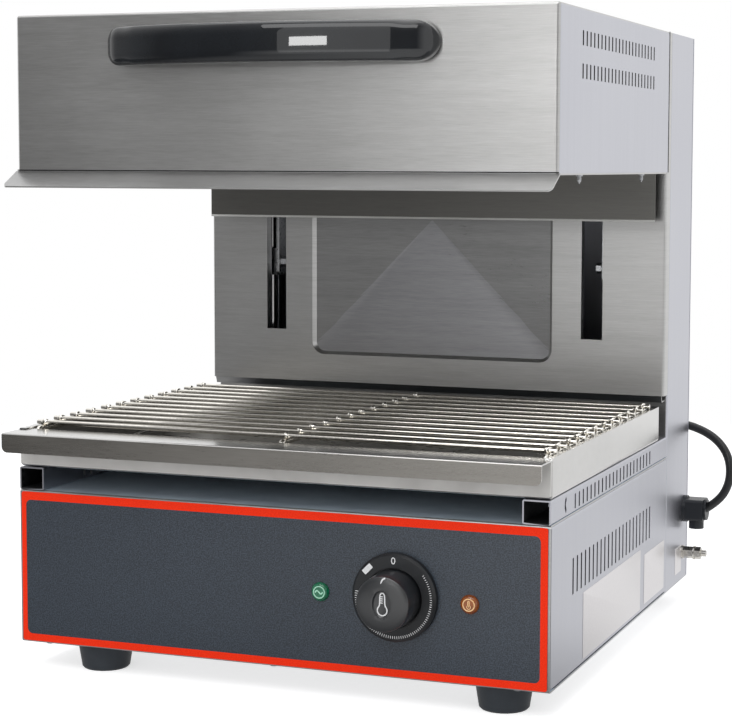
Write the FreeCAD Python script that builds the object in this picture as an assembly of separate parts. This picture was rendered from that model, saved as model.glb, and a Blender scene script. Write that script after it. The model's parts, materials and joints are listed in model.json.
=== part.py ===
import FreeCAD, Part
import math
import os

from FreeCAD import Vector

os.makedirs("parts", exist_ok=True)

# Every length is in millimetres, every angle in degrees. While the pieces are made, X = 0 is the
# middle of the casing, Y = 0 the front of the base and Z = 0 the table. save() then moves them so
# that the origin is under the middle of the whole appliance.

# Casing
body_w = 450.0
total_h = 530.0
foot_h = 22.0
base_h = 126.0
base_d = 366.0
tower_side_d = 89.0
sheet = 1.2
bend_r = 2.4
flange_w = 13.0
cut_extra = 1.0
tiny = 1e-6
seam_gap = 0.3
touch_gap = 0.05

# Feet and their bolts
foot_top_r = 22.8
foot_bottom_r = 19.5
foot_inset_left = 61.0
foot_inset_right = 44.5
foot_front_y = 30.0
foot_rear_inset = 30.0
foot_recess_r = 9.0
foot_recess_h = 12.0
foot_bolt_r = 3.0
foot_bolt_head_r = 6.5
foot_bolt_head_h = 4.0
foot_nut_r = 5.5
foot_nut_h = 5.0

# Slots pressed in the casing
slot_w = 3.5
side_slot_count = 22
base_slot_first_y = 61.0
base_slot_rear_gap = 62.0
base_slot_rise = 62.5
base_slot_h = 28.2
hood_slot_first_gap = 61.5
hood_slot_rear_gap = 58.6
hood_slot_h = 11.2
hood_slot_low_drop = 53.0
hood_slot_high_drop = 28.2
vent_slot_w = 5.0
vent_slot_l = 70.0
vent_slot_pitch = 14.0
bottom_vent_count = 8
bottom_vent_gap = 95.0
bottom_vent_x = 60.0
back_vent_count = 9
back_vent_drop = 200.0
back_vent_x = 72.0

# Square runners that carry the tray
channel_w = 22.0
channel_h = 18.5
channel_r = 1.6
channel_slot_first_y = 65.0
channel_slot_rear_gap = 64.0
channel_slot_h = 11.5
channel_slot_lift = 2.5
arc_slot_y = 43.0
arc_slot_r = 7.0
arc_slot_w = 3.4
arc_slot_half_angle = 65.0

# Front panel, dial and lamps
overlay_t = 0.6
overlay_inset = 1.6
overlay_r = 5.0
dial_inset = 121.3
dial_rise = 63.8
dial_r = 34.0
dial_t = 6.5
dial_edge = 1.8
dial_recess_r = 23.2
dial_recess_d = 3.2
knob_r = 22.0
knob_front_r = 21.2
knob_reach = 25.0
knob_edge = 1.4
knob_gap = 0.5
knob_dish_r = 16.5
knob_dish_d = 1.6
knob_oval_w = 15.5
knob_oval_h = 23.0
knob_oval_d = 1.6
spindle_r = 3.0
spindle_grip = 14.0
spindle_depth = 16.0
thermostat_w = 46.0
thermostat_h = 40.0
thermostat_d = 34.0
thermostat_neck_r = 6.0
lamp_drop = 1.1
green_lamp_gap = 62.3
amber_lamp_gap = 59.2
lamp_rim_r = 7.4
lamp_face_r = 6.2
lamp_rim_t = 1.0
lamp_reach = 3.4
lamp_neck_r = 5.0
lamp_body_r = 6.5
lamp_body_l = 24.0
lamp_terminal_l = 6.0

# Tower
cover_reach = 14.0
cover_rise = 51.0
cover_hem_h = 6.0
cover_hem_back = 2.2
lower_panel_rise = 13.0
arm_slot_inset = 68.0
arm_slot_w = 20.0
arm_slot_top_gap = 6.0
arm_slot_lip = 10.0
dish_inset = 105.5
dish_rise = 32.0
dish_drop = 40.0
dish_r = 12.0
dish_step = 3.5
dish_slope_w = 3.0
dish_deep = 3.0

# Guides and springs in the tower
rod_from_arm = 13.2
rod_r = 6.0
rod_behind_cover = 36.0
rod_seat = 9.0
rod_fit = 0.05
bracket_d = 28.0
bracket_h = 12.0
lower_bracket_rise = 88.0
upper_bracket_drop = 30.0
spring_inset = 20.0
spring_r = 9.0
spring_bore_r = 6.5
spring_plug_h = 8.0
spring_neck_h = 6.0
spring_stud_r = 3.0
spring_nut_r = 5.5
spring_nut_h = 5.0
stud_fit = 0.2

# Hood
hood_w = 454.0
hood_front_y = 6.0
hood_rear_gap = 3.0
hood_h = 124.0
hood_bend_r = 3.0
hood_travel = 150.0
floor_overhang = 1.0
floor_open_side = 29.0
floor_open_front = 34.0
floor_open_rear = 24.0
floor_open_r = 8.0
visor_reach = 22.0
visor_drop = 12.0
visor_corner_r = 5.0
back_side_gap = 8.5
back_inset = 13.0
back_hang = 44.0
back_top_gap = 4.0
back_hem = 1.6
reflector_side_gap = 25.0
reflector_front_gap = 26.0
reflector_rear_gap = 16.0
reflector_h = 50.0
reflector_t = 0.8
reflector_r = 10.0

# Heating elements, their hangers and the sensing bulb
element_r = 4.0
element_legs = 4
element_drop = 28.0
element_end_gap = 26.0
element_return_gap = 14.0
element_tail = 14.0
element_gap_y = 38.0
element_first_gap = 30.0
element_last_gap = 22.0
hanger_inset = 106.0
hanger_t = 1.5
hanger_low = 8.0
hanger_end_gap = 12.0
insulator_r = 8.0
insulator_flange_r = 11.0
insulator_flange_t = 3.0
insulator_l = 10.0
element_fit = 0.15
bulb_r = 3.0
bulb_l = 96.0
bulb_clip_x = 30.0
bulb_clip_w = 8.0
bulb_clip_t = 1.0

# Arms and guide blocks
arm_t = 3.0
arm_slot_side_gap = 2.2
arm_z_gap = 3.0
arm_rise = 1.0
arm_h = 64.0
arm_front_flange_w = 17.0
arm_plate_gap = 2.5
arm_plate_d = 30.0
arm_plate_hang = 102.0
arm_plate_rise = 6.0
arm_r = 4.0
block_w = 26.0
block_h = 26.0
block_r = 2.0
bushing_wall = 2.0
lug_w = 22.0
lug_h = 8.0
block_bolt_r = 3.0
block_bolt_head_r = 5.0
block_bolt_head_h = 5.0
block_washer_r = 6.0
block_washer_t = 1.2
block_bolt_y_gap = 6.0

# Handle
handle_w = 280.0
handle_h = 30.0
handle_drop = 27.0
handle_x = -2.0
handle_reach = 40.0
handle_t = 15.0
handle_foot = 30.0
handle_end_t = 13.0
handle_end_r = 8.0
handle_edge_r = 6.0
handle_screw_r = 2.5
handle_screw_depth = 14.0
handle_screw_head_r = 5.0
handle_screw_head_h = 3.0
handle_screw_inset = 14.0

# Tray and grid
tray_w = 451.0
tray_front_y = 1.0
tray_rear_gap = 19.0
tray_gap = 0.3
tray_h = 31.2
tray_rim = 6.0
tray_low_r = 3.0
tray_corner_r = 2.0
lip_reach = 27.0
lip_drop = 1.0
lip_h = 15.5
lip_inward = 7.0
lip_corner_r = 5.0
lip_bend_r = 1.6
grid_wire_r = 2.0
grid_rise = 0.3
grid_overhang = 3.5
grid_wire_count = 12
grid_first_gap = 23.0
grid_last_gap = 22.0
support_r = 2.5
support_sink = 0.3
support_inset = 10.0
support_middle_x = 2.0
support_front_gap = 11.5
support_rear_gap = 13.0
support_bend_r = 5.0
grid_foot_gap = 0.3

# Cable gland, bonding terminal and terminal block
gland_from_back = 15.5
gland_rise = 67.0
gland_rim_r = 12.5
gland_rim_t = 4.0
gland_block_l = 16.5
gland_block_h = 20.0
gland_block_d = 24.0
gland_block_r = 3.0
gland_collar_r = 10.0
gland_collar_t = 2.0
gland_boss_r = 7.0
gland_boss_h = 8.0
gland_thread_r = 9.5
gland_thread_l = 12.0
gland_nut_r = 12.5
gland_nut_t = 5.0
bond_from_back = 20.0
bond_rise = 26.0
bond_r = 3.0
bond_reach = 23.0
bond_inside = 9.0
bond_collar_r = 5.6
bond_collar_l = 9.5
bond_washer_r = 6.4
bond_washer_t = 1.5
bond_nut_r = 5.8
bond_nut_l = 5.5
terminal_l = 70.0
terminal_w = 26.0
terminal_h = 22.0
terminal_rib_h = 6.0
terminal_rib_t = 2.0
terminal_ways = 5
terminal_screw_r = 3.2
terminal_from_back = 45.0
terminal_inset = 105.0

# Power cord, coil and plug. The route's points run from inside the gland to the coil.
cord_r = 4.0
cord_bend_share = 0.45
cord_route = [
    (239.5, 439.5, 86.0), (257.2, 440.0, 96.0), (268.2, 442.0, 115.0), (266.8, 447.0, 137.5),
    (253.0, 456.0, 154.0), (230.0, 466.0, 163.5), (203.0, 471.0, 167.0), (176.0, 473.0, 160.0),
    (155.0, 474.5, 141.0), (143.0, 476.0, 115.0), (136.5, 479.0, 88.0), (133.5, 483.0, 64.0),
    (132.3, 488.5, 40.5), (131.8, 499.5, 21.2), (131.5, 515.5, 9.8), (131.5, 536.0, 5.8),
    (131.5, 556.0, 5.8)]
coil_x = 74.0
coil_y = 564.5
coil_outer_r = 57.5
coil_pitch = 10.7
coil_layer_rise = 8.8
coil_rest_z = 5.8
coil_end_run = 8.5
coil_inner_turns = 2.5
coil_outer_turns = 2.25
coil_tail_l = 42.0
plug_r = 19.0
plug_rest_gap = 0.3
plug_face_d = 22.0
plug_edge = 4.0
plug_neck_l = 14.0
plug_sleeve_l = 30.0
plug_sleeve_r = 7.5
plug_sleeve_end_r = 5.4
pin_r = 2.4
pin_l = 19.0
pin_spacing = 19.0
tie_w = 9.0
tie_t = 1.1
tie_r = 4.0
tie_gap = 0.45

# Places that follow from the sizes above
half_w = body_w / 2
base_top = foot_h + base_h
tower_back = base_d + tower_side_d
cover_y = base_d - cover_reach
cover_low_z = base_top + cover_rise
channel_top = base_top + channel_h
base_slot_z = foot_h + base_slot_rise
base_slot_last_y = base_d - base_slot_rear_gap
channel_slot_last_y = base_d - channel_slot_rear_gap

dial_x = half_w - dial_inset
dial_z = foot_h + dial_rise
dial_front = -overlay_t - dial_t
lamp_z = dial_z - lamp_drop
green_lamp_x = dial_x - green_lamp_gap
amber_lamp_x = dial_x + amber_lamp_gap

hood_half = hood_w / 2
hood_rear_y = cover_y - hood_rear_gap
hood_low_z = total_h - hood_h
hood_floor_z = hood_low_z - sheet
hood_slot_first_y = hood_front_y + hood_slot_first_gap
hood_slot_last_y = hood_rear_y - hood_slot_rear_gap
hood_slot_low_z = total_h - hood_slot_low_drop
hood_slot_high_z = total_h - hood_slot_high_drop
floor_half = hood_half + floor_overhang
floor_open_x = hood_half - floor_open_side
back_y = hood_rear_y - back_inset
back_half = hood_half - back_side_gap
back_low_z = hood_low_z - back_hang
reflector_half = hood_half - reflector_side_gap
element_half = reflector_half - element_end_gap
element_z = hood_low_z + reflector_h - element_drop
hanger_x = reflector_half - hanger_inset
reflector_y0 = hood_front_y + reflector_front_gap
reflector_y1 = back_y - reflector_rear_gap
element_steps = element_legs - 1
element_pitch = ((reflector_y1 - reflector_y0 - element_first_gap - element_last_gap - element_gap_y)
                 / (2 * element_steps))
handle_z = total_h - handle_drop
handle_front_y = hood_front_y - handle_reach

arm_low_z = hood_low_z + arm_rise
arm_high_z = arm_low_z + arm_h
arm_plate_low_z = arm_low_z - arm_plate_hang
arm_plate_top_z = arm_high_z + arm_plate_rise
arm_slot_x = half_w - arm_slot_inset
arm_slot_low_z = arm_low_z - hood_travel - arm_z_gap
arm_slot_high_z = arm_high_z + arm_slot_top_gap
arm_outer_x = arm_slot_x + arm_slot_w / 2 - arm_slot_side_gap
arm_inner_x = arm_outer_x - arm_t
block_y0 = base_d + arm_plate_gap
block_y1 = block_y0 + arm_plate_d
rod_x = arm_outer_x + rod_from_arm
rod_y = cover_y + rod_behind_cover
spring_x = half_w - spring_inset
lower_bracket_z = foot_h + lower_bracket_rise
upper_bracket_z = total_h - upper_bracket_drop
dish_half_w = half_w - dish_inset
dish_low_z = cover_low_z + dish_rise
dish_high_z = total_h - dish_drop

tray_low_z = channel_top + tray_gap
tray_top_z = tray_low_z + tray_h
tray_half = tray_w / 2
tray_rear_y = cover_y - tray_rear_gap
grid_wire_z = tray_top_z + grid_rise + grid_wire_r
grid_half = tray_half - grid_overhang
support_front_y = tray_front_y + support_front_gap
support_rear_y = tray_rear_y - support_rear_gap

gland_y = tower_back - gland_from_back
gland_z = foot_h + gland_rise
bond_y = tower_back - bond_from_back
bond_z = foot_h + bond_rise
bond_tip = half_w + bond_reach
terminal_x = half_w - terminal_inset
terminal_y = tower_back - terminal_from_back
origin_shift = Vector((floor_half - bond_tip) / 2, -(handle_front_y + tower_back) / 2, 0)


def box(x0, x1, y0, y1, z0, z1):
    return Part.makeBox(x1 - x0, y1 - y0, z1 - z0, Vector(x0, y0, z0))


def bar(radius, start, end):
    run = end - start
    return Part.makeCylinder(radius, run.Length, start, run)


def place(plane, base, a, b):
    # A point of a flat outline: plane x holds (y, z), plane y holds (x, z), plane z holds (x, y).
    if plane == "x":
        return Vector(base, a, b)
    if plane == "y":
        return Vector(a, base, b)
    return Vector(a, b, base)


def corner_arc(before, corner, after, radius):
    # The tangent arc that rounds a corner: its start, middle and end.
    back = (before - corner).normalize()
    ahead = (after - corner).normalize()
    half_turn = (math.pi - back.getAngle(ahead)) / 2
    run = radius * math.tan(half_turn)
    inward = (back + ahead).normalize()
    centre = corner + inward * (radius / math.cos(half_turn))
    return corner + back * run, centre - inward * radius, corner + ahead * run


def rounded_edges(points, radii, closed):
    # Straight runs joined by tangent arcs, each corner with its own radius, 0 for a sharp one.
    count = len(points)
    stops = []
    for i, point in enumerate(points):
        inner = closed or 0 < i < count - 1
        if inner and radii[i] > 0:
            stops.append(corner_arc(points[i - 1], point, points[(i + 1) % count], radii[i]))
        else:
            stops.append((point, None, point))
    edges = []
    last = count if closed else count - 1
    for i in range(count):
        first, middle, final = stops[i]
        if middle is not None:
            edges.append(Part.Arc(first, middle, final).toShape())
        if i < last:
            start = stops[(i + 1) % count][0]
            if (start - final).Length > tiny:
                edges.append(Part.LineSegment(final, start).toShape())
    return edges


def outline(plane, base, points, radii):
    if not isinstance(radii, (list, tuple)):
        radii = [radii] * len(points)
    return Part.Wire(rounded_edges([place(plane, base, a, b) for a, b in points], radii, True))


def prism(plane, start, end, points, radii=0):
    # A flat outline with rounded corners, drawn out from start to end across its plane.
    face = Part.Face(outline(plane, start, points, radii))
    return face.extrude(place(plane, end, 0, 0) - place(plane, start, 0, 0))


def rectangle(a0, a1, b0, b1):
    return [(a0, b0), (a1, b0), (a1, b1), (a0, b1)]


def folded(plane, start, end, points, radius, thickness):
    # A folded sheet: points run along its outer face, and the sheet lies to the left of them.
    radii = [radius] * len(points)
    path = Part.Wire(rounded_edges([place(plane, start, a, b) for a, b in points], radii, False))
    inner = offset_points(points, thickness)
    inner_radii = [max(radius - thickness, 0)] * len(points)
    back = rounded_edges([place(plane, start, a, b) for a, b in inner], inner_radii, False)
    ends = [Part.LineSegment(place(plane, start, *points[i]), place(plane, start, *inner[i])).toShape()
            for i in (0, -1)]
    rim = Part.Wire(Part.__sortEdges__(path.Edges + back + ends))
    return Part.Face(rim).extrude(place(plane, end, 0, 0) - place(plane, start, 0, 0))


def offset_points(points, distance):
    # The corners of the same open path, moved to its left by a distance.
    moved = []
    for i, (a, b) in enumerate(points):
        before = left_normal(points[i - 1], points[i]) if i > 0 else None
        after = left_normal(points[i], points[i + 1]) if i < len(points) - 1 else None
        before = before or after
        after = after or before
        share = 1 + before[0] * after[0] + before[1] * after[1]
        moved.append((a + distance * (before[0] + after[0]) / share,
                      b + distance * (before[1] + after[1]) / share))
    return moved


def left_normal(start, end):
    run = math.hypot(end[0] - start[0], end[1] - start[1])
    return (start[1] - end[1]) / run, (end[0] - start[0]) / run


def turned(profile, base, axis):
    # A turned piece: profile lists (radius, distance along the axis from the base).
    points = [Vector(radius, 0, along) for radius, along in profile]
    face = Part.Face(Part.makePolygon(points + points[:1]))
    shape = face.revolve(Vector(0, 0, 0), Vector(0, 0, 1), 360)
    shape.Placement = FreeCAD.Placement(base, FreeCAD.Rotation(Vector(0, 0, 1), axis))
    return shape


def hexagon(radius, base, axis, length):
    points = [Vector(radius * math.cos(math.radians(60 * i)), radius * math.sin(math.radians(60 * i)), 0)
              for i in range(6)]
    shape = Part.Face(Part.makePolygon(points + points[:1])).extrude(Vector(0, 0, length))
    shape.Placement = FreeCAD.Placement(base, FreeCAD.Rotation(Vector(0, 0, 1), axis))
    return shape


def joined(*shapes):
    return shapes[0].fuse(list(shapes[1:])).removeSplitter()


def mirrored(shape):
    return shape.mirror(Vector(0, 0, 0), Vector(1, 0, 0))


def spread(first, last, count):
    return [first + (last - first) * i / (count - 1) for i in range(count)]


def slot_row(x0, x1, first_y, last_y, z0, z1):
    # Upright slots side by side along Y, through whatever lies between x0 and x1.
    return [box(x0, x1, y - slot_w / 2, y + slot_w / 2, z0, z1)
            for y in spread(first_y, last_y, side_slot_count)]


def save(name, *solids):
    shape = solids[0] if len(solids) == 1 else Part.makeCompound(list(solids))
    shape = shape.copy()
    shape.translate(origin_shift)
    if not shape.isValid() or not shape.Solids:
        raise ValueError("not a valid solid: " + name)
    shape.exportStep("parts/" + name + ".step")
    print(name, len(shape.Solids), "solids", round(shape.Volume / 1000, 2), "cm3")


def make_base():
    # One folded sheet is the front and the top of the base, the sides hang between its hems.
    cover_path = [(flange_w, foot_h), (0, foot_h), (0, base_top), (base_d, base_top)]
    cover = folded("x", -half_w, half_w, cover_path[::-1], bend_r, sheet)
    fittings = [bar(thermostat_neck_r + touch_gap, Vector(dial_x, -cut_extra, dial_z),
                    Vector(dial_x, bend_r + cut_extra, dial_z))]
    for x in (green_lamp_x, amber_lamp_x):
        fittings.append(bar(lamp_neck_r + touch_gap, Vector(x, -cut_extra, lamp_z),
                            Vector(x, bend_r + cut_extra, lamp_z)))
    save("base_cover", cover.cut(fittings))

    side_path = [(half_w - flange_w, foot_h + sheet), (half_w, foot_h + sheet),
                 (half_w, base_top - sheet), (half_w - channel_w, base_top - sheet)]
    side = folded("y", bend_r, base_d, side_path, bend_r, sheet)
    side = side.cut(slot_row(half_w - sheet - cut_extra, half_w + cut_extra, base_slot_first_y,
                             base_slot_last_y, base_slot_z, base_slot_z + base_slot_h))
    save("base_side_right", side)
    save("base_side_left", mirrored(side))

    bottom = box(-half_w, half_w, flange_w + seam_gap, tower_back, foot_h, foot_h + sheet)
    vents = []
    for i in range(bottom_vent_count):
        y = bottom_vent_gap + vent_slot_pitch * i
        for x in (-bottom_vent_x, bottom_vent_x):
            vents.append(prism("z", foot_h - cut_extra, foot_h + sheet + cut_extra,
                               rectangle(x - vent_slot_l / 2, x + vent_slot_l / 2, y, y + vent_slot_w)))
    holes = [bar(foot_bolt_r + touch_gap, Vector(x, y, foot_h - cut_extra),
                 Vector(x, y, foot_h + sheet + cut_extra)) for x, y in foot_places()]
    save("base_bottom_plate", bottom.cut(vents + holes))


def foot_places():
    places_x = (foot_inset_left - half_w, half_w - foot_inset_right)
    return [(x, y) for y in (foot_front_y, tower_back - foot_rear_inset) for x in places_x]


def make_feet():
    names = ["foot_front_left", "foot_front_right", "foot_rear_left", "foot_rear_right"]
    profile = [(foot_bolt_r + touch_gap, foot_recess_h), (foot_recess_r, foot_recess_h),
               (foot_recess_r, 0), (foot_bottom_r - foot_bolt_r / 2, 0),
               (foot_bottom_r, foot_bolt_r / 2), (foot_top_r, foot_h), (foot_bolt_r + touch_gap, foot_h)]
    bolts = []
    for name, (x, y) in zip(names, foot_places()):
        save(name, turned(profile, Vector(x, y, 0), Vector(0, 0, 1)))
        top = foot_h + sheet
        bolts.append(joined(
            bar(foot_bolt_head_r, Vector(x, y, foot_recess_h - foot_bolt_head_h), Vector(x, y, foot_recess_h)),
            bar(foot_bolt_r, Vector(x, y, foot_recess_h), Vector(x, y, top + foot_nut_h)),
            hexagon(foot_nut_r, Vector(x, y, top), Vector(0, 0, 1), foot_nut_h)))
    save("foot_bolts", *bolts)


def make_channels():
    # Square tube with slots in both upright walls and a curved slot near the front end.
    x0 = half_w - channel_w
    end_y = base_d - sheet
    tube = prism("y", 0, end_y, rectangle(x0, half_w, base_top, channel_top), channel_r)
    bore = prism("y", -cut_extra, end_y + cut_extra,
                 rectangle(x0 + sheet, half_w - sheet, base_top + sheet, channel_top - sheet))
    slot_z = base_top + channel_slot_lift
    cuts = slot_row(x0 - cut_extra, half_w + cut_extra, channel_slot_first_y, channel_slot_last_y,
                    slot_z, slot_z + channel_slot_h)
    cuts.append(arc_slot())
    channel = tube.cut(bore).cut(cuts)
    save("channel_right", channel)
    save("channel_left", mirrored(channel))


def arc_slot():
    centre_z = base_top + channel_h / 2
    points = []
    for radius, angles in ((arc_slot_r, (-1, 0, 1)), (arc_slot_r - arc_slot_w, (1, 0, -1))):
        for side in angles:
            angle = math.radians(180 + side * arc_slot_half_angle)
            points.append(Vector(half_w - sheet - cut_extra, arc_slot_y + radius * math.cos(angle),
                                 centre_z + radius * math.sin(angle)))
    outer = Part.Arc(*points[:3]).toShape()
    inner = Part.Arc(*points[3:]).toShape()
    ends = [Part.LineSegment(points[2], points[3]).toShape(), Part.LineSegment(points[5], points[0]).toShape()]
    face = Part.Face(Part.Wire([outer, ends[0], inner, ends[1]]))
    return face.extrude(Vector(sheet + 2 * cut_extra, 0, 0))


def make_tower_casing():
    side_path = [(half_w - flange_w, base_d), (half_w, base_d), (half_w, tower_back - sheet),
                 (half_w - flange_w, tower_back - sheet)]
    cap_x = half_w - sheet
    cap = prism("z", total_h - sheet, total_h, rectangle(-cap_x, cap_x, cover_y + sheet, tower_back - sheet),
                bend_r - sheet + touch_gap)
    save("tower_top_cap", cap)
    side = folded("z", foot_h + sheet, total_h, side_path, bend_r, sheet).cut(cap)
    save("tower_side_left", mirrored(side))
    holes = [bar(gland_thread_r + touch_gap, Vector(half_w - sheet - cut_extra, gland_y, gland_z),
                 Vector(half_w + cut_extra, gland_y, gland_z)),
             bar(bond_r + touch_gap, Vector(half_w - sheet - cut_extra, bond_y, bond_z),
                 Vector(half_w + cut_extra, bond_y, bond_z))]
    save("tower_side_right", side.cut(holes))

    back = box(-half_w, half_w, tower_back - sheet, tower_back, foot_h + sheet, total_h)
    vents = []
    for i in range(back_vent_count):
        z = total_h - back_vent_drop + vent_slot_pitch * i
        for x in (-back_vent_x, back_vent_x):
            vents.append(box(x - vent_slot_l / 2, x + vent_slot_l / 2, tower_back - sheet - cut_extra,
                             tower_back + cut_extra, z, z + vent_slot_w))
    save("tower_back_panel", back.cut(vents))

    save("tower_lower_panel", box(-cap_x, cap_x, base_d - sheet, base_d, base_top,
                                  cover_low_z + lower_panel_rise))


def dish(shift, deepen):
    # The pressed field: a stepped rim and four shallow faces that fall towards its middle.
    def rim(inset, y):
        points = rectangle(-dish_half_w + inset, dish_half_w - inset, dish_low_z + inset, dish_high_z - inset)
        return outline("y", y + shift, points, dish_r - inset)
    step = Part.makeLoft([rim(0, cover_y), rim(dish_slope_w, cover_y + dish_step)], True, True)
    tip = Part.Vertex(0, cover_y + dish_step + deepen + shift, (dish_low_z + dish_high_z) / 2)
    field = Part.makeLoft([rim(dish_slope_w, cover_y + dish_step), tip], True, True)
    return step.fuse(field)


def make_tower_cover():
    # A folded front with two slots for the arms, their edges turned in, and the pressed field.
    path = [(half_w, base_d), (half_w, cover_y), (-half_w, cover_y), (-half_w, base_d)]
    hem_top = cover_low_z + cover_hem_h
    cover = folded("z", hem_top, total_h, path[::-1], bend_r, sheet)
    hem_back = base_d - sheet
    hem_path = [(cover_y, hem_top), (cover_y + cover_hem_back, cover_low_z), (hem_back, cover_low_z),
                (hem_back, cover_low_z + sheet), (cover_y + cover_hem_back + sheet, cover_low_z + sheet),
                (cover_y + sheet, hem_top)]
    hem = prism("x", -half_w + bend_r, half_w - bend_r, hem_path)
    back_of_dish = dish(sheet, dish_deep)
    cover = joined(cover, hem, back_of_dish)
    cuts = [dish(0, dish_deep)]
    lips = []
    for side in (-1, 1):
        x = side * arm_slot_x
        half = arm_slot_w / 2
        cuts.append(box(x - half, x + half, cover_y - cut_extra, base_d, arm_slot_low_z, arm_slot_high_z))
        for edge in (-1, 1):
            low = x + edge * half - (sheet if edge < 0 else 0)
            lips.append(box(low, low + sheet, cover_y, cover_y + arm_slot_lip, arm_slot_low_z, arm_slot_high_z))
    save("tower_cover", joined(cover, *lips).cut(cuts))


def make_guides():
    # Two polished rods between cross bars, and a long tension spring beside each rod.
    def cross_bar(z):
        return box(-half_w + sheet, half_w - sheet, rod_y - bracket_d / 2, rod_y + bracket_d / 2,
                   z, z + bracket_h)
    lower_top = lower_bracket_z + bracket_h
    rods, lower_bores, upper_bores = [], [], []
    for x in (-rod_x, rod_x):
        start = Vector(x, rod_y, lower_top - rod_seat)
        end = Vector(x, rod_y, upper_bracket_z + rod_seat)
        rods.append(bar(rod_r, start, end))
        lower_bores.append(bar(rod_r + rod_fit, start, Vector(x, rod_y, lower_top + cut_extra)))
        upper_bores.append(bar(rod_r + rod_fit, Vector(x, rod_y, upper_bracket_z - cut_extra), end))
    for x in (-spring_x, spring_x):
        upper_bores.append(bar(spring_stud_r + stud_fit, Vector(x, rod_y, upper_bracket_z - cut_extra),
                               Vector(x, rod_y, upper_bracket_z + bracket_h + cut_extra)))
    save("guide_rods", *rods)
    save("rod_bracket_lower", cross_bar(lower_bracket_z).cut(lower_bores))
    save("rod_bracket_upper", cross_bar(upper_bracket_z).cut(upper_bores))
    save("lift_spring_right", spring(spring_x))
    save("lift_spring_left", spring(-spring_x))


def spring(x):
    low = arm_plate_low_z + lug_h
    high = upper_bracket_z
    body_low = low + spring_neck_h
    body_high = high - spring_neck_h
    coil = bar(spring_r, Vector(x, rod_y, body_low), Vector(x, rod_y, body_high))
    bore = bar(spring_bore_r, Vector(x, rod_y, body_low + spring_plug_h),
               Vector(x, rod_y, body_high - spring_plug_h))
    low_tip = arm_plate_low_z - spring_nut_h
    high_tip = high + bracket_h + spring_nut_h
    return joined(coil.cut(bore),
                  bar(spring_stud_r, Vector(x, rod_y, low_tip), Vector(x, rod_y, body_low + spring_plug_h)),
                  bar(spring_stud_r, Vector(x, rod_y, body_high - spring_plug_h), Vector(x, rod_y, high_tip)),
                  hexagon(spring_nut_r, Vector(x, rod_y, low_tip), Vector(0, 0, 1), spring_nut_h),
                  hexagon(spring_nut_r, Vector(x, rod_y, high + bracket_h), Vector(0, 0, 1), spring_nut_h))


def make_controls():
    overlay = prism("y", -overlay_t, 0, rectangle(-half_w + overlay_inset, half_w - overlay_inset,
                                                  foot_h + overlay_inset, base_top - overlay_inset), overlay_r)
    holes = [bar(thermostat_neck_r + touch_gap, Vector(dial_x, -overlay_t - cut_extra, dial_z),
                 Vector(dial_x, cut_extra, dial_z))]
    for x in (green_lamp_x, amber_lamp_x):
        holes.append(bar(lamp_neck_r + touch_gap, Vector(x, -overlay_t - cut_extra, lamp_z),
                         Vector(x, cut_extra, lamp_z)))
    save("front_overlay", overlay.cut(holes))

    forward = Vector(0, -1, 0)
    ring_back = Vector(dial_x, -overlay_t, dial_z)
    recess_floor = dial_t - dial_recess_d
    bore_r = thermostat_neck_r + touch_gap
    ring = [(bore_r, 0), (dial_r, 0), (dial_r, dial_t - dial_edge), (dial_r - dial_edge, dial_t),
            (dial_recess_r, dial_t), (dial_recess_r, recess_floor), (bore_r, recess_floor)]
    save("dial_ring", turned(ring, ring_back, forward))

    knob_base = Vector(dial_x, dial_front + dial_recess_d - knob_gap, dial_z)
    knob_l = knob_reach + dial_recess_d - knob_gap
    body = [(0, 0), (knob_r, 0), (knob_front_r, knob_l - knob_edge), (knob_front_r - knob_edge, knob_l),
            (knob_dish_r, knob_l), (0, knob_l - knob_dish_d)]
    knob = turned(body, knob_base, forward)
    oval = Part.Ellipse(Vector(0, 0, 0), knob_oval_h / 2, knob_oval_w / 2).toShape()
    oval = Part.Face(Part.Wire(oval)).extrude(Vector(0, 0, knob_dish_d + knob_oval_d))
    oval.rotate(Vector(0, 0, 0), Vector(0, 1, 0), -90)
    oval.rotate(Vector(0, 0, 0), Vector(0, 0, 1), -90)
    oval.translate(Vector(dial_x, knob_base.y - knob_l + knob_dish_d + knob_oval_d, dial_z))
    grip_end = Vector(dial_x, knob_base.y - spindle_grip, dial_z)
    bore = bar(spindle_r + touch_gap, Vector(dial_x, cut_extra, dial_z), grip_end)
    save("thermostat_knob", knob.cut([oval, bore]))
    save("thermostat_spindle", bar(spindle_r, Vector(dial_x, sheet + spindle_depth, dial_z), grip_end))

    body_y = sheet
    body = box(dial_x - thermostat_w / 2, dial_x + thermostat_w / 2, body_y, body_y + thermostat_d,
               dial_z - thermostat_h / 2, dial_z + thermostat_h / 2)
    neck_front = -overlay_t - recess_floor
    neck = bar(thermostat_neck_r, Vector(dial_x, body_y, dial_z), Vector(dial_x, neck_front, dial_z))
    seat = bar(spindle_r + rod_fit, Vector(dial_x, neck_front - cut_extra, dial_z),
               Vector(dial_x, body_y + spindle_depth, dial_z))
    save("thermostat_body", joined(body, neck).cut(seat))

    make_lamp("green_lamp", green_lamp_x)
    make_lamp("amber_lamp", amber_lamp_x)
    save("lamp_bodies", lamp_body(green_lamp_x), lamp_body(amber_lamp_x))


def make_lamp(name, x):
    lens = [(0, 0), (lamp_rim_r, 0), (lamp_rim_r, lamp_rim_t), (lamp_face_r, lamp_reach - lamp_rim_t / 2),
            (lamp_face_r - lamp_rim_t, lamp_reach), (0, lamp_reach)]
    save(name, turned(lens, Vector(x, -overlay_t, lamp_z), Vector(0, -1, 0)))


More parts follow.
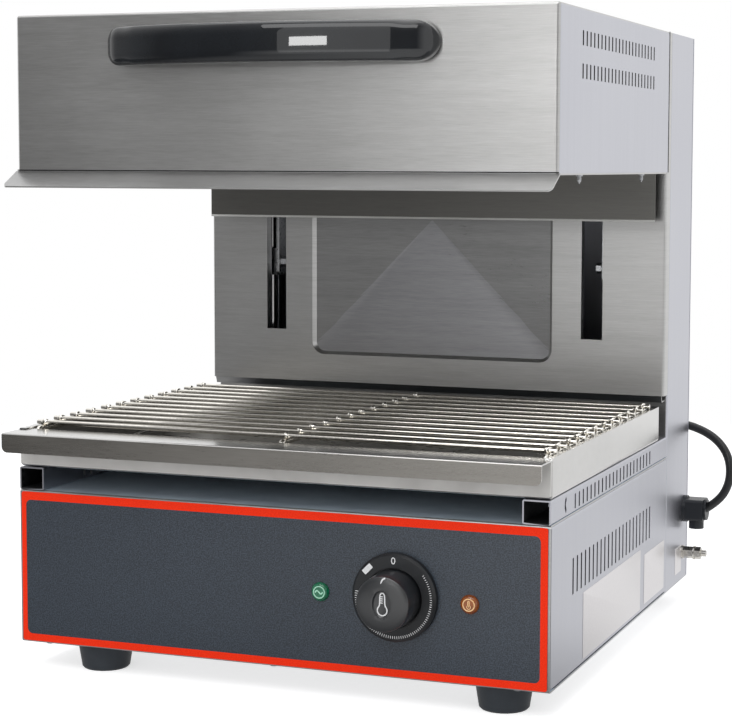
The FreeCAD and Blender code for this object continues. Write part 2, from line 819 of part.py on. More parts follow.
def lamp_body(x):
    profile = [(0, 0), (lamp_neck_r, 0), (lamp_neck_r, overlay_t + sheet), (lamp_body_r, overlay_t + sheet),
               (lamp_body_r, lamp_body_l), (lamp_terminal_l / 2, lamp_body_l),
               (lamp_terminal_l / 2, lamp_body_l + lamp_terminal_l), (0, lamp_body_l + lamp_terminal_l)]
    return turned(profile, Vector(x, -overlay_t, lamp_z), Vector(0, 1, 0))


def make_terminals():
    outward = Vector(1, 0, 0)
    collar_start = half_w + bond_washer_t
    nut_start = collar_start + bond_collar_l + bond_washer_t

    def ring(radius, start, length):
        outer = bar(radius, Vector(start, bond_y, bond_z), Vector(start + length, bond_y, bond_z))
        return outer.cut(bar(bond_r + touch_gap, Vector(start - cut_extra, bond_y, bond_z),
                             Vector(start + length + cut_extra, bond_y, bond_z)))

    def nut(radius, start, length):
        hole = bar(bond_r + touch_gap, Vector(start - cut_extra, bond_y, bond_z),
                   Vector(start + length + cut_extra, bond_y, bond_z))
        return hexagon(radius, Vector(start, bond_y, bond_z), outward, length).cut(hole)
    save("bonding_stud", bar(bond_r, Vector(half_w - bond_inside, bond_y, bond_z),
                             Vector(bond_tip, bond_y, bond_z)))
    inner_nut = half_w - sheet - bond_nut_l
    save("bonding_nuts", ring(bond_washer_r, half_w, bond_washer_t),
         nut(bond_collar_r, collar_start, bond_collar_l),
         ring(bond_washer_r, collar_start + bond_collar_l, bond_washer_t),
         nut(bond_nut_r, nut_start, bond_nut_l), nut(bond_nut_r, inner_nut, bond_nut_l))

    low = foot_h + sheet
    block = box(terminal_x - terminal_l / 2, terminal_x + terminal_l / 2, terminal_y - terminal_w / 2,
                terminal_y + terminal_w / 2, low, low + terminal_h)
    pitch = terminal_l / terminal_ways
    ribs, screws = [], []
    for i in range(terminal_ways + 1):
        x = terminal_x - terminal_l / 2 + i * (terminal_l - terminal_rib_t) / terminal_ways
        ribs.append(box(x, x + terminal_rib_t, terminal_y - terminal_w / 2, terminal_y + terminal_w / 2,
                        low + terminal_h - terminal_rib_t, low + terminal_h + terminal_rib_h))
    for i in range(terminal_ways):
        x = terminal_x - terminal_l / 2 + pitch * (i + 1 / 2)
        screws.append(bar(terminal_screw_r, Vector(x, terminal_y, low + terminal_h / 2),
                          Vector(x, terminal_y, low + terminal_h + cut_extra)))
    save("terminal_block", joined(block, *ribs).cut(screws))


def make_gland():
    # A rim against the side panel, a square clamp body, a round collar and a boss for the clamp screw.
    outward = Vector(1, 0, 0)
    rim_end = half_w + gland_rim_t
    block_end = rim_end + gland_block_l
    rim = bar(gland_rim_r, Vector(half_w, gland_y, gland_z), Vector(rim_end, gland_y, gland_z))
    block = prism("x", rim_end, block_end,
                  rectangle(gland_y - gland_block_d / 2, gland_y + gland_block_d / 2,
                            gland_z - gland_block_h / 2, gland_z + gland_block_h / 2), gland_block_r)
    collar = bar(gland_collar_r, Vector(block_end, gland_y, gland_z),
                 Vector(block_end + gland_collar_t, gland_y, gland_z))
    boss_x = rim_end + gland_block_l / 2
    boss = bar(gland_boss_r, Vector(boss_x, gland_y, gland_z),
               Vector(boss_x, gland_y, gland_z - gland_block_h / 2 - gland_boss_h))
    thread = bar(gland_thread_r, Vector(half_w - gland_thread_l, gland_y, gland_z),
                 Vector(half_w, gland_y, gland_z))
    nut_end = half_w - sheet
    nut = hexagon(gland_nut_r, Vector(nut_end - gland_nut_t, gland_y, gland_z), outward, gland_nut_t)
    save("cable_gland", joined(rim, block, collar, boss, thread, nut))


def make_hood_casing():
    # A folded shell, open below and behind, on a floor plate whose front edge is the visor.
    outer = prism("z", hood_low_z, total_h, rectangle(-hood_half, hood_half, hood_front_y, hood_rear_y),
                  [hood_bend_r, hood_bend_r, 0, 0])
    top_edges = [edge for edge in outer.Edges
                 if edge.BoundBox.ZMin > total_h - tiny and edge.BoundBox.YMin < hood_rear_y - tiny]
    outer = outer.makeFillet(hood_bend_r - sheet / 2, top_edges)
    inner = prism("z", hood_low_z - cut_extra, total_h - sheet,
                  rectangle(-hood_half + sheet, hood_half - sheet, hood_front_y + sheet,
                            hood_rear_y + cut_extra), [hood_bend_r - sheet, hood_bend_r - sheet, 0, 0])
    cuts = []
    for z in (hood_slot_low_z, hood_slot_high_z):
        cuts += slot_row(-hood_half - cut_extra, hood_half + cut_extra, hood_slot_first_y,
                         hood_slot_last_y, z, z + hood_slot_h)
    cuts += [bar(handle_screw_r + touch_gap, Vector(x, hood_front_y - cut_extra, handle_z),
                 Vector(x, hood_front_y + sheet + cut_extra, handle_z)) for x in handle_screw_places()]
    save("hood_shell", outer.cut(inner).cut(cuts))

    opening = prism("z", hood_floor_z - cut_extra, hood_low_z + cut_extra,
                    rectangle(-floor_open_x, floor_open_x, hood_front_y + floor_open_front,
                              back_y - floor_open_rear), floor_open_r)
    floor = box(-floor_half, floor_half, hood_front_y, back_y, hood_floor_z, hood_low_z).cut(opening)
    slope = math.hypot(visor_reach, visor_drop)
    down_y, down_z = visor_reach / slope, visor_drop / slope
    tip_y = hood_front_y - visor_reach
    tip_z = hood_low_z - visor_drop
    visor_points = [(hood_front_y, hood_low_z), (tip_y, tip_z),
                    (tip_y + sheet * down_z, tip_z - sheet * down_y), (hood_front_y, hood_floor_z)]
    visor = prism("x", -floor_half, floor_half, visor_points)
    trim = [(-floor_half, hood_front_y), (-floor_half, tip_y), (floor_half, tip_y), (floor_half, hood_front_y)]
    keep = prism("z", tip_z - visor_drop, hood_low_z, trim, [0, visor_corner_r, visor_corner_r, 0])
    save("hood_floor", joined(floor, visor.common(keep)))

    back_top = total_h - back_top_gap
    back_points = [(back_y, back_low_z), (back_y, back_top), (back_y + sheet, back_top),
                   (back_y + sheet, back_low_z + back_hem), (back_y + 2 * sheet, back_low_z + back_hem),
                   (back_y + 2 * sheet, back_low_z)]
    save("hood_back_plate", prism("x", -back_half, back_half, back_points))


def reflector_box(inset):
    half = reflector_half - inset
    return prism("z", hood_low_z, hood_low_z + reflector_h - inset,
                 rectangle(-half, half, reflector_y0 + inset, reflector_y1 - inset), reflector_r)


def element_rows():
    first = reflector_y0 + element_first_gap
    second = first + element_steps * element_pitch + element_gap_y
    return first, second


def element_path(first_y):
    # Four runs from side to side, joined by half circles, with both tails on the left.
    left = -element_half + element_return_gap
    tail = -reflector_half - element_tail
    rows = [first_y + element_pitch * i for i in range(element_legs)]
    points = [(tail, rows[0]), (element_half, rows[0]), (element_half, rows[1]), (left, rows[1]),
              (left, rows[2]), (element_half, rows[2]), (element_half, rows[3]), (tail, rows[3])]
    return [Vector(x, y, element_z) for x, y in points]


def make_heating():
    outside = reflector_box(0)
    inside = reflector_box(reflector_t)
    inside.translate(Vector(0, 0, -tiny))
    first, second = element_rows()
    tails = [row + shift for row in (first, second) for shift in (0, element_steps * element_pitch)]
    wall_x = -reflector_half
    tail_holes = [bar(insulator_r + touch_gap, Vector(wall_x - cut_extra, y, element_z),
                      Vector(wall_x + reflector_t + cut_extra, y, element_z)) for y in tails]
    save("hood_reflector", outside.cut(inside).cut(tail_holes))

    for name, row in (("heating_element_front", first), ("heating_element_rear", second)):
        points = element_path(row)
        path = Part.Wire(rounded_edges(points, [element_pitch / 2] * len(points), False))
        ring = Part.Wire(Part.makeCircle(element_r, points[0], Vector(1, 0, 0)))
        save(name, path.makePipeShell([ring], True, False))

    roof = hood_low_z + reflector_h - reflector_t
    y0 = first - hanger_end_gap
    y1 = second + element_steps * element_pitch + hanger_end_gap
    hangers = []
    for x in (-hanger_x, hanger_x):
        plate = prism("x", x, x + hanger_t, rectangle(y0, y1, element_z - hanger_low, roof), element_r)
        plate = joined(plate, box(x, x + hanger_t, y0, y1, element_z, roof))
        holes = [bar(element_r + element_fit, Vector(x - cut_extra, row + element_pitch * i, element_z),
                     Vector(x + hanger_t + cut_extra, row + element_pitch * i, element_z))
                 for row in (first, second) for i in range(element_legs)]
        hangers.append(plate.cut(holes))
    save("element_hangers", *hangers)

    insulators = []
    for y in tails:
        bore = element_r + element_fit
        profile = [(bore, 0), (insulator_flange_r, 0), (insulator_flange_r, insulator_flange_t),
                   (insulator_r, insulator_flange_t), (insulator_r, insulator_l), (bore, insulator_l)]
        insulators.append(turned(profile, Vector(wall_x - insulator_flange_t, y, element_z), Vector(1, 0, 0)))
    save("element_insulators", *insulators)

    middle = (first + element_steps * element_pitch + second) / 2
    bulb_z = roof - bulb_clip_t - 2 * bulb_r
    bulb = turned([(0, 0), (bulb_r / 2, 0), (bulb_r, bulb_r), (bulb_r, bulb_l - bulb_r),
                   (bulb_r / 2, bulb_l), (0, bulb_l)], Vector(-bulb_l / 2, middle, bulb_z), Vector(1, 0, 0))
    save("thermostat_bulb", bulb)
    clips = []
    for x in (-bulb_clip_x, bulb_clip_x):
        start, end = x - bulb_clip_w / 2, x + bulb_clip_w / 2
        strap = bar(bulb_r + bulb_clip_t, Vector(start, middle, bulb_z), Vector(end, middle, bulb_z))
        post = box(start, end, middle - bulb_clip_t / 2, middle + bulb_clip_t / 2, bulb_z, roof)
        hole = bar(bulb_r + touch_gap, Vector(start - cut_extra, middle, bulb_z),
                   Vector(end + cut_extra, middle, bulb_z))
        clips.append(joined(strap, post).cut(hole))
    save("bulb_clips", *clips)


def make_arms():
    # Upright plates that reach through the tower's slots and carry the guide blocks.
    front = back_y + sheet
    block_bolt_y = block_y0 + block_bolt_y_gap
    points = [(front, arm_low_z), (block_y0, arm_low_z), (block_y0, arm_plate_low_z),
              (block_y1, arm_plate_low_z), (block_y1, arm_plate_top_z), (block_y0, arm_plate_top_z),
              (block_y0, arm_high_z), (front, arm_high_z)]
    plate = prism("x", arm_inner_x, arm_outer_x, points, [0, arm_r, arm_r, arm_r, arm_r, arm_r, 0, 0])
    flange = box(arm_outer_x - arm_front_flange_w, arm_outer_x, front, front + arm_t, arm_low_z, arm_high_z)
    block_centres = [arm_plate_low_z + block_h / 2, arm_plate_top_z - block_h / 2]
    bolt_holes = [bar(block_bolt_r + touch_gap, Vector(arm_inner_x - cut_extra, block_bolt_y, z),
                      Vector(arm_outer_x + block_w + cut_extra, block_bolt_y, z)) for z in block_centres]
    arm = joined(plate, flange).cut(bolt_holes)
    save("hood_arm_right", arm)
    save("hood_arm_left", mirrored(arm))

    block_x1 = arm_outer_x + block_w
    liner_r = rod_r + rod_fit + bushing_wall
    blocks, bushings, bolts = [], [], []
    for i, z in enumerate(block_centres):
        z0, z1 = z - block_h / 2, z + block_h / 2
        block = prism("z", z0, z1, rectangle(arm_outer_x, block_x1, block_y0, block_y1),
                      [0, block_r, block_r, 0])
        if i == 0:
            lug = prism("z", z0, z0 + lug_h, rectangle(block_x1 - block_r, block_x1 + lug_w,
                                                       rod_y - bracket_d / 3, rod_y + bracket_d / 3),
                        [0, block_r, block_r, 0])
            block = joined(block, lug)
        stud = bar(spring_stud_r + stud_fit, Vector(spring_x, rod_y, z0 - cut_extra),
                   Vector(spring_x, rod_y, z1 + cut_extra))
        bore = bar(liner_r + touch_gap / 2, Vector(rod_x, rod_y, z0 - cut_extra),
                   Vector(rod_x, rod_y, z1 + cut_extra))
        blocks.append(block.cut([bore, stud] + bolt_holes))
        liner = bar(liner_r, Vector(rod_x, rod_y, z0), Vector(rod_x, rod_y, z1))
        bushings.append(liner.cut(bar(rod_r + rod_fit, Vector(rod_x, rod_y, z0 - cut_extra),
                                      Vector(rod_x, rod_y, z1 + cut_extra))))
        bolts.append(block_bolt(block_bolt_y, z))
    save("guide_blocks_right", *blocks)
    save("guide_blocks_left", *[mirrored(block) for block in blocks])
    save("guide_bushings", *(bushings + [mirrored(piece) for piece in bushings]))
    save("block_bolts", *(bolts + [mirrored(piece) for piece in bolts]))


def block_bolt(y, z):
    head_x = arm_inner_x - block_washer_t
    tip_x = arm_outer_x + block_w
    return joined(
        bar(block_washer_r, Vector(head_x, y, z), Vector(arm_inner_x, y, z)),
        hexagon(block_bolt_head_r, Vector(head_x - block_bolt_head_h, y, z), Vector(1, 0, 0),
                block_bolt_head_h),
        bar(block_bolt_r, Vector(head_x, y, z), Vector(tip_x, y, z)))


def handle_screw_places():
    half = handle_w / 2 - handle_screw_inset
    return handle_x - half, handle_x + half


def bow_block(left, right, end_y, middle_y, rear_y, low, high):
    ends = [Vector(left, rear_y, low), Vector(left, end_y, low), Vector(right, end_y, low),
            Vector(right, rear_y, low)]
    arch = Part.Arc(ends[1], Vector((left + right) / 2, middle_y, low), ends[2]).toShape()
    edges = [Part.makeLine(ends[0], ends[1]), arch, Part.makeLine(ends[2], ends[3]),
             Part.makeLine(ends[3], ends[0])]
    return Part.Face(Part.Wire(edges)).extrude(Vector(0, 0, high - low))


def make_handle():
    # A bow that arches in one curve seen from above, cut to a round-ended bar seen from the front.
    left, right = handle_x - handle_w / 2, handle_x + handle_w / 2
    low, high = handle_z - handle_h / 2, handle_z + handle_h / 2
    bow = bow_block(left, right, hood_front_y - handle_end_t, handle_front_y, hood_front_y, low, high)
    corners = [edge for edge in bow.Edges
               if edge.BoundBox.ZLength > handle_h / 2 and edge.BoundBox.YMin < hood_front_y - tiny]
    bow = bow.makeFillet(handle_end_r, corners)
    rim = [edge for edge in bow.Edges
           if edge.BoundBox.ZLength < tiny and edge.BoundBox.YMin < hood_front_y - tiny]
    bow = bow.makeFillet(handle_edge_r, rim)
    round_ended = prism("y", handle_front_y - cut_extra, hood_front_y,
                        rectangle(left, right, low, high), handle_h / 2 - touch_gap)
    finger = bow_block(left + handle_foot, right - handle_foot, hood_front_y, handle_front_y + handle_t,
                       hood_front_y + cut_extra, low - cut_extra, high + cut_extra)
    depth = hood_front_y - handle_screw_depth
    holes = [bar(handle_screw_r + touch_gap, Vector(x, hood_front_y + cut_extra, handle_z),
                 Vector(x, depth, handle_z)) for x in handle_screw_places()]
    save("hood_handle", bow.common(round_ended).cut([finger] + holes))
    inside = hood_front_y + sheet
    screws = []
    for x in handle_screw_places():
        head = bar(handle_screw_head_r, Vector(x, inside + handle_screw_head_h, handle_z),
                   Vector(x, inside, handle_z))
        shank = bar(handle_screw_r, Vector(x, inside, handle_z), Vector(x, depth, handle_z))
        screws.append(joined(head, shank))
    save("handle_screws", *screws)


def make_tray():
    # A shallow pan with a turned-in rim at the sides and rear and a long lip in front.
    pan = pan_solid(0)
    hollow = pan_solid(sheet)
    hollow.translate(Vector(0, 0, sheet))
    pan = pan.cut(hollow)
    top = tray_top_z
    rim = box(-tray_half, tray_half, tray_front_y, tray_rear_y, top - sheet, top)
    rim_hole = box(-tray_half + tray_rim, tray_half - tray_rim, tray_front_y - cut_extra,
                   tray_rear_y - tray_rim, top - sheet - cut_extra, top + cut_extra)
    corners = prism("z", top - sheet, top, rectangle(-tray_half, tray_half, tray_front_y, tray_rear_y),
                    [0, 0, tray_corner_r, tray_corner_r])
    rim = rim.cut(rim_hole).common(corners)
    lip_y = tray_front_y - lip_reach
    lip_top = top - lip_drop
    lip_path = [(lip_y, lip_top - lip_h), (lip_y, lip_top), (tray_front_y + lip_inward, lip_top)]
    lip = folded("x", -tray_half, tray_half, lip_path[::-1], lip_bend_r, sheet)
    face = prism("y", lip_y - cut_extra, lip_y + lip_bend_r,
                 [(-tray_half, lip_top), (-tray_half, lip_top - lip_h), (tray_half, lip_top - lip_h),
                  (tray_half, lip_top)], [0, lip_corner_r, lip_corner_r, 0])
    keep = joined(face, box(-tray_half, tray_half, lip_y + lip_bend_r, tray_rear_y, lip_top - lip_h, lip_top))
    save("tray_pan", joined(pan, rim, lip.common(keep)))


def pan_solid(inset):
    half = tray_half - inset
    front, rear = tray_front_y + inset, tray_rear_y - inset
    low_r = max(tray_low_r - inset, sheet)
    shape = prism("z", tray_low_z, tray_top_z + inset, rectangle(-half, half, front, rear),
                  [tray_corner_r - inset / 2] * 4)
    low = [edge for edge in shape.Edges if edge.BoundBox.ZMax < tray_low_z + tiny]
    shape = shape.makeFillet(low_r, low)
    if inset == 0:
        trim = box(-tray_half, tray_half, tray_front_y, tray_rear_y, tray_low_z, tray_top_z - lip_drop)
        notch = box(-tray_half, tray_half, tray_front_y - cut_extra, tray_front_y + sheet,
                    tray_top_z - lip_drop, tray_top_z + cut_extra)
        shape = shape.common(joined(trim, shape)).cut(notch)
    return shape


def make_grid():
    wires = []
    for y in spread(tray_front_y + grid_first_gap, tray_rear_y - grid_last_gap, grid_wire_count):
        wires.append(bar(grid_wire_r, Vector(-grid_half, y, grid_wire_z), Vector(grid_half, y, grid_wire_z)))
    save("grid_wires", *wires)

    support_z = grid_wire_z - grid_wire_r - support_r + support_sink
    foot_z = tray_low_z + sheet + grid_foot_gap
    supports = []
    for x in (support_inset - tray_half, support_middle_x, tray_half - support_inset):
        points = [Vector(x, support_front_y, foot_z), Vector(x, support_front_y, support_z),
                  Vector(x, support_rear_y, support_z), Vector(x, support_rear_y, foot_z)]
        path = Part.Wire(rounded_edges(points, [support_bend_r] * 4, False))
        ring = Part.Wire(Part.makeCircle(support_r, points[0], Vector(0, 0, 1)))
        supports.append(path.makePipeShell([ring], True, False))
    save("grid_supports", *supports)


def biarc(start, start_way, end, end_way):
    # Two tangent arcs from one point and heading to another.
    run = end - start
    ways = start_way + end_way
    spread_by = 2 * (1 - start_way.dot(end_way))
    across = run.dot(ways)
    if spread_by < tiny:
        reach = run.dot(run) / (2 * across)
    else:
        reach = (math.sqrt(across ** 2 + spread_by * run.dot(run)) - across) / spread_by
    first = start + start_way * reach
    second = end - end_way * reach
    meet = (first + second) / 2
    return [half_of_biarc(start, first, meet), half_of_biarc(meet, second, end)]


def half_of_biarc(start, corner, end):
    half_turn = (math.pi - (start - corner).getAngle(end - corner)) / 2
    radius = (start - corner).Length / math.tan(half_turn)
    return Part.Arc(*corner_arc(start, corner, end, radius)).toShape()


def tube(edges, radius, heading):
    path = Part.Wire(edges)
    ring = Part.Wire(Part.makeCircle(radius, path.OrderedVertexes[0].Point, heading))
    return path.makePipeShell([ring], True, False)


def cord_bends(points):
    radii = [0]
    for before, corner, after in zip(points, points[1:], points[2:]):
        turn = math.pi - (before - corner).getAngle(after - corner)
        shorter = min((before - corner).Length, (after - corner).Length)
        radii.append(cord_bend_share * shorter / math.tan(turn / 2))
    return radii + [0]


def coil_stations():
    # Places half a turn apart: a spiral inwards, one half turn that climbs, and a spiral outwards.
    stations = []
    for turns in spread(0, coil_inner_turns, round(2 * coil_inner_turns) + 1):
        stations.append((turns, coil_outer_r - coil_pitch * turns, coil_rest_z))
    inner_r = coil_outer_r - coil_pitch * coil_inner_turns
    climbed = coil_inner_turns + 1 / 2
    top_z = coil_rest_z + coil_layer_rise
    for turns in spread(0, coil_outer_turns, round(4 * coil_outer_turns) + 1):
        stations.append((climbed + turns, inner_r + coil_pitch * turns, top_z))
    return stations


def make_cord():
    points = [Vector(*point) for point in cord_route]
    radii = cord_bends(points)
    free = tube(rounded_edges(points, radii, False), cord_r, points[1] - points[0])
    length = sum(edge.Length for edge in rounded_edges(points, radii, False))
    print("cord radii", [round(radius) for radius in radii[1:-1]])
    print("cord", round(length), "mm, volume share", round(free.Volume / (math.pi * cord_r ** 2 * length), 4))
    save("power_cord", free)

    edges, end, heading = coil_edges()
    coil = tube(edges, cord_r, Vector(0, 1, 0))
    coil_length = sum(edge.Length for edge in edges)
    print("coil", round(coil_length), "mm, volume share",
          round(coil.Volume / (math.pi * cord_r ** 2 * coil_length), 4))
    print("coil least gap", round(least_gap(edges), 2), "mm, whole cord", round(length + coil_length), "mm")
    save("cord_coil", coil)
    make_plug(end, heading)
    make_tie()


def coil_edges():
    forward = Vector(0, 1, 0)
    start = Vector(coil_x + coil_outer_r, coil_y, coil_rest_z)
    edges = [Part.LineSegment(start - forward * coil_end_run, start).toShape()]
    point, heading = start, forward
    for turns, radius, z in coil_stations()[1:]:
        angle = 2 * math.pi * turns
        new_point = Vector(coil_x + radius * math.cos(angle), coil_y + radius * math.sin(angle), z)
        new_heading = Vector(-math.sin(angle), math.cos(angle), 0)
        edges += biarc(point, heading, new_point, new_heading)
        point, heading = new_point, new_heading
    plug_z = plug_r + plug_rest_gap
    tail = Vector(point.x, point.y, plug_z) + heading * coil_tail_l
    edges += biarc(point, heading, tail, heading)
    end = tail + heading * coil_end_run
    edges.append(Part.LineSegment(tail, end).toShape())
    return edges, end, heading


def least_gap(edges):
    # The smallest clear gap of the coil to itself, measured between points a little apart on it.
    samples, walked = [], 0
    for edge in edges:
        steps = math.ceil(edge.Length / cord_r)
        for i in range(steps):
            along = edge.Length * i / steps
            samples.append((walked + along, edge.valueAt(edge.getParameterByLength(along))))
        walked += edge.Length
    far_enough = 2 * math.pi * cord_r
    gaps = [(a - b).Length for i, (s, a) in enumerate(samples) for t, b in samples[:i] if s - t > far_enough]
    return min(gaps) - 2 * cord_r


def make_plug(end, heading):
    # A round earthed plug with a sleeve that tapers to the cord, lying on its side, and its two pins.
    sleeve = [(0, 0), (plug_sleeve_end_r, 0), (plug_sleeve_r, plug_sleeve_l),
              (plug_r - plug_edge, plug_sleeve_l + plug_neck_l - plug_edge),
              (plug_r, plug_sleeve_l + plug_neck_l),
              (plug_r, plug_sleeve_l + plug_neck_l + plug_face_d - plug_edge / 2),
              (plug_r - plug_edge / 2, plug_sleeve_l + plug_neck_l + plug_face_d),
              (0, plug_sleeve_l + plug_neck_l + plug_face_d)]
    face = end + heading * (plug_sleeve_l + plug_neck_l + plug_face_d)
    save("power_plug", turned(sleeve, end, heading))
    across = heading.cross(Vector(0, 0, 1)) * (pin_spacing / 2)
    pins = []
    for side in (across, -across):
        pin = [(0, 0), (pin_r, 0), (pin_r, pin_l - pin_r / 2), (pin_r / 2, pin_l), (0, pin_l)]
        pins.append(turned(pin, face + side, heading))
    save("plug_pins", *pins)


def make_tie():
    # A flat strap round the bundle of turns, on their left side.
    inner_r = coil_outer_r - coil_pitch * coil_inner_turns - cord_r - tie_gap
    outer_r = coil_outer_r - coil_pitch / 2 + cord_r + tie_gap
    low = coil_rest_z - cord_r - tie_gap
    high = coil_rest_z + coil_layer_rise + cord_r + tie_gap
    band = prism("y", coil_y - tie_w / 2, coil_y + tie_w / 2,
                 rectangle(coil_x - outer_r - tie_t, coil_x - inner_r + tie_t, low - tie_t, high + tie_t),
                 tie_r)
    hole = prism("y", coil_y - tie_w, coil_y + tie_w,
                 rectangle(coil_x - outer_r, coil_x - inner_r, low, high), tie_r - tie_t)
    save("cord_tie", band.cut(hole))


make_base()
make_feet()
make_channels()
make_tower_casing()
make_tower_cover()
make_guides()
make_controls()
make_terminals()
make_gland()
make_hood_casing()
make_heating()
make_arms()
make_handle()
make_tray()
make_grid()
make_cord()
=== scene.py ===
import bpy
import json
import math
from mathutils import Matrix, Vector


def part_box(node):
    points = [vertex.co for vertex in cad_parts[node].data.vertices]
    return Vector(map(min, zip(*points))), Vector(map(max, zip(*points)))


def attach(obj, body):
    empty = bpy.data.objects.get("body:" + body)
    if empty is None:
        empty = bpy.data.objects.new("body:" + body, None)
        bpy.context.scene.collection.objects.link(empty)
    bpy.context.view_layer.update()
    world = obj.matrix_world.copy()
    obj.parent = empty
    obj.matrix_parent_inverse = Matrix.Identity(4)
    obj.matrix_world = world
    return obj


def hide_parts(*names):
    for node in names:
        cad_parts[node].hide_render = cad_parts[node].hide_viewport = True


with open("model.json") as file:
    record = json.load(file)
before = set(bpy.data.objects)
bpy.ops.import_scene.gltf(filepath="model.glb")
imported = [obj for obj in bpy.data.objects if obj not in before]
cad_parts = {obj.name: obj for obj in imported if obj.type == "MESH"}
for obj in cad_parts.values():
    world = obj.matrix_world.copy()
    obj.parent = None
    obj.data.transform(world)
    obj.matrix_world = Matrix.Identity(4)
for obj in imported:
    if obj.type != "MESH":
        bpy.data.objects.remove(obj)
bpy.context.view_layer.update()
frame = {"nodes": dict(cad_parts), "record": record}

nodes = frame["nodes"]
bodyOf = {node: body for body, members in frame["record"]["behaviour"]["bodies"].items() for node in members}
slotOf = {part["node"]: part["material_slot"] for part in frame["record"]["subparts"]}

# Places are written in millimetres from the middle of the casing's lower front edge, on the table.
casingFoot = Vector((-10.0, -210.5, 0.0))


def spot(x, y, z):
    return (Vector((x, y, z)) + casingFoot) / 1000


def mm(length):
    return length / 1000


def only(*pieces):
    bpy.ops.object.select_all(action="DESELECT")
    for piece in pieces:
        piece.select_set(True)
    bpy.context.view_layer.objects.active = pieces[0]


def settle(piece):
    only(piece)
    bpy.ops.object.transform_apply(location=True, rotation=True, scale=True)
    return piece


def started(name):
    piece = bpy.context.active_object
    piece.name = name
    piece.data.name = name
    return piece


def applied(piece, kind, **settings):
    only(piece)
    modifier = piece.modifiers.new(kind.lower(), kind)
    for key, value in settings.items():
        setattr(modifier, key, value)
    bpy.ops.object.modifier_apply(modifier=modifier.name)
    return piece


def rounded(piece, width, segments=2, angle=40):
    return applied(piece, "BEVEL", width=mm(width), segments=segments, limit_method="ANGLE",
                   angle_limit=math.radians(angle))


def smoothed(piece, angle=35):
    only(piece)
    bpy.ops.object.shade_smooth_by_angle(angle=math.radians(angle))
    return piece


def facingOut(piece, weld=0.002):
    only(piece)
    bpy.ops.object.mode_set(mode="EDIT")
    bpy.ops.mesh.select_all(action="SELECT")
    bpy.ops.mesh.remove_doubles(threshold=mm(weld))
    bpy.ops.mesh.normals_make_consistent(inside=False)
    bpy.ops.object.mode_set(mode="OBJECT")
    return piece


def turned(piece, facing, place, up=(0, 0, 1)):
    # stands a piece that was made flat on the floor at its place, its top towards facing
    out = Vector(facing).normalized()
    across = Vector(up).cross(out).normalized()
    frameOf = Matrix((across, out.cross(across), out)).transposed().to_4x4()
    piece.data.transform(Matrix.Translation(place) @ frameOf)
    return piece


def bar(name, low, high, edge):
    # a bar with rounded edges between two corners in metres
    bpy.ops.object.select_all(action="DESELECT")
    bpy.ops.mesh.primitive_cube_add(size=1)
    piece = started(name)
    piece.scale = [above - below for below, above in zip(low, high)]
    piece.location = [(below + above) / 2 for below, above in zip(low, high)]
    settle(piece)
    return smoothed(rounded(piece, edge, 3))


def plate(name, width, height, corner, thick, edge=0.0, segments=6):
    # a flat plate with round corners, lying on the floor round the origin
    bpy.ops.object.select_all(action="DESELECT")
    bpy.ops.mesh.primitive_plane_add(size=1)
    piece = started(name)
    piece.scale = (mm(width), mm(height), 1)
    settle(piece)
    bpy.ops.object.mode_set(mode="EDIT")
    bpy.ops.mesh.select_all(action="SELECT")
    if corner:
        bpy.ops.mesh.bevel(offset=mm(corner), segments=segments, affect="VERTICES")
        bpy.ops.mesh.select_all(action="SELECT")
    bpy.ops.mesh.extrude_region_move(TRANSFORM_OT_translate={"value": (0, 0, mm(thick))})
    bpy.ops.object.mode_set(mode="OBJECT")
    facingOut(piece)
    if edge:
        rounded(piece, edge)
    return smoothed(piece)


def lathe(name, rings, sides, angle=35):
    # a disc on the floor, drawn out ring by ring, each ring (radius, height)
    bpy.ops.object.select_all(action="DESELECT")
    first, height = rings[0]
    bpy.ops.mesh.primitive_circle_add(vertices=sides, radius=mm(first), fill_type="NGON",
                                      location=(0, 0, mm(height)))
    piece = started(name)
    settle(piece)
    bpy.ops.object.mode_set(mode="EDIT")
    bpy.ops.mesh.select_all(action="SELECT")
    for (radius, low), (wider, high) in zip(rings, rings[1:]):
        bpy.ops.mesh.extrude_region_move(TRANSFORM_OT_translate={"value": (0, 0, mm(high - low))})
        grow = wider / radius
        bpy.ops.transform.resize(value=(grow, grow, 1), center_override=(0, 0, mm(high)))
    bpy.ops.object.mode_set(mode="OBJECT")
    return smoothed(facingOut(piece), angle)


def merged(name, pieces):
    only(*pieces)
    bpy.ops.object.join()
    return started(name)


def copied(piece, name, shift=(0, 0, 0), turn=None):
    twin = bpy.data.objects.new(name, piece.data.copy())
    twin.data.name = name
    bpy.context.scene.collection.objects.link(twin)
    if turn is not None:
        twin.data.transform(turn)
    twin.data.transform(Matrix.Translation(Vector(shift)))
    return twin


def dropped(piece):
    bpy.data.objects.remove(piece)


def curveAlong(name, places, radius, order=3, detail=4, steps=6, closed=False):
    # a round rod along places in metres
    shape = bpy.data.curves.new(name, "CURVE")
    shape.dimensions = "3D"
    shape.bevel_depth = mm(radius)
    shape.bevel_resolution = detail
    shape.resolution_u = steps
    shape.use_fill_caps = True
    line = shape.splines.new("NURBS")
    line.points.add(len(places) - 1)
    for point, place in zip(line.points, places):
        point.co = (*place, 1)
    line.order_u = order
    line.use_endpoint_u = not closed
    line.use_cyclic_u = closed
    piece = bpy.data.objects.new(name, shape)
    bpy.context.scene.collection.objects.link(piece)
    return piece


def meshed(piece):
    only(piece)
    bpy.ops.object.convert(target="MESH")
    return bpy.context.active_object


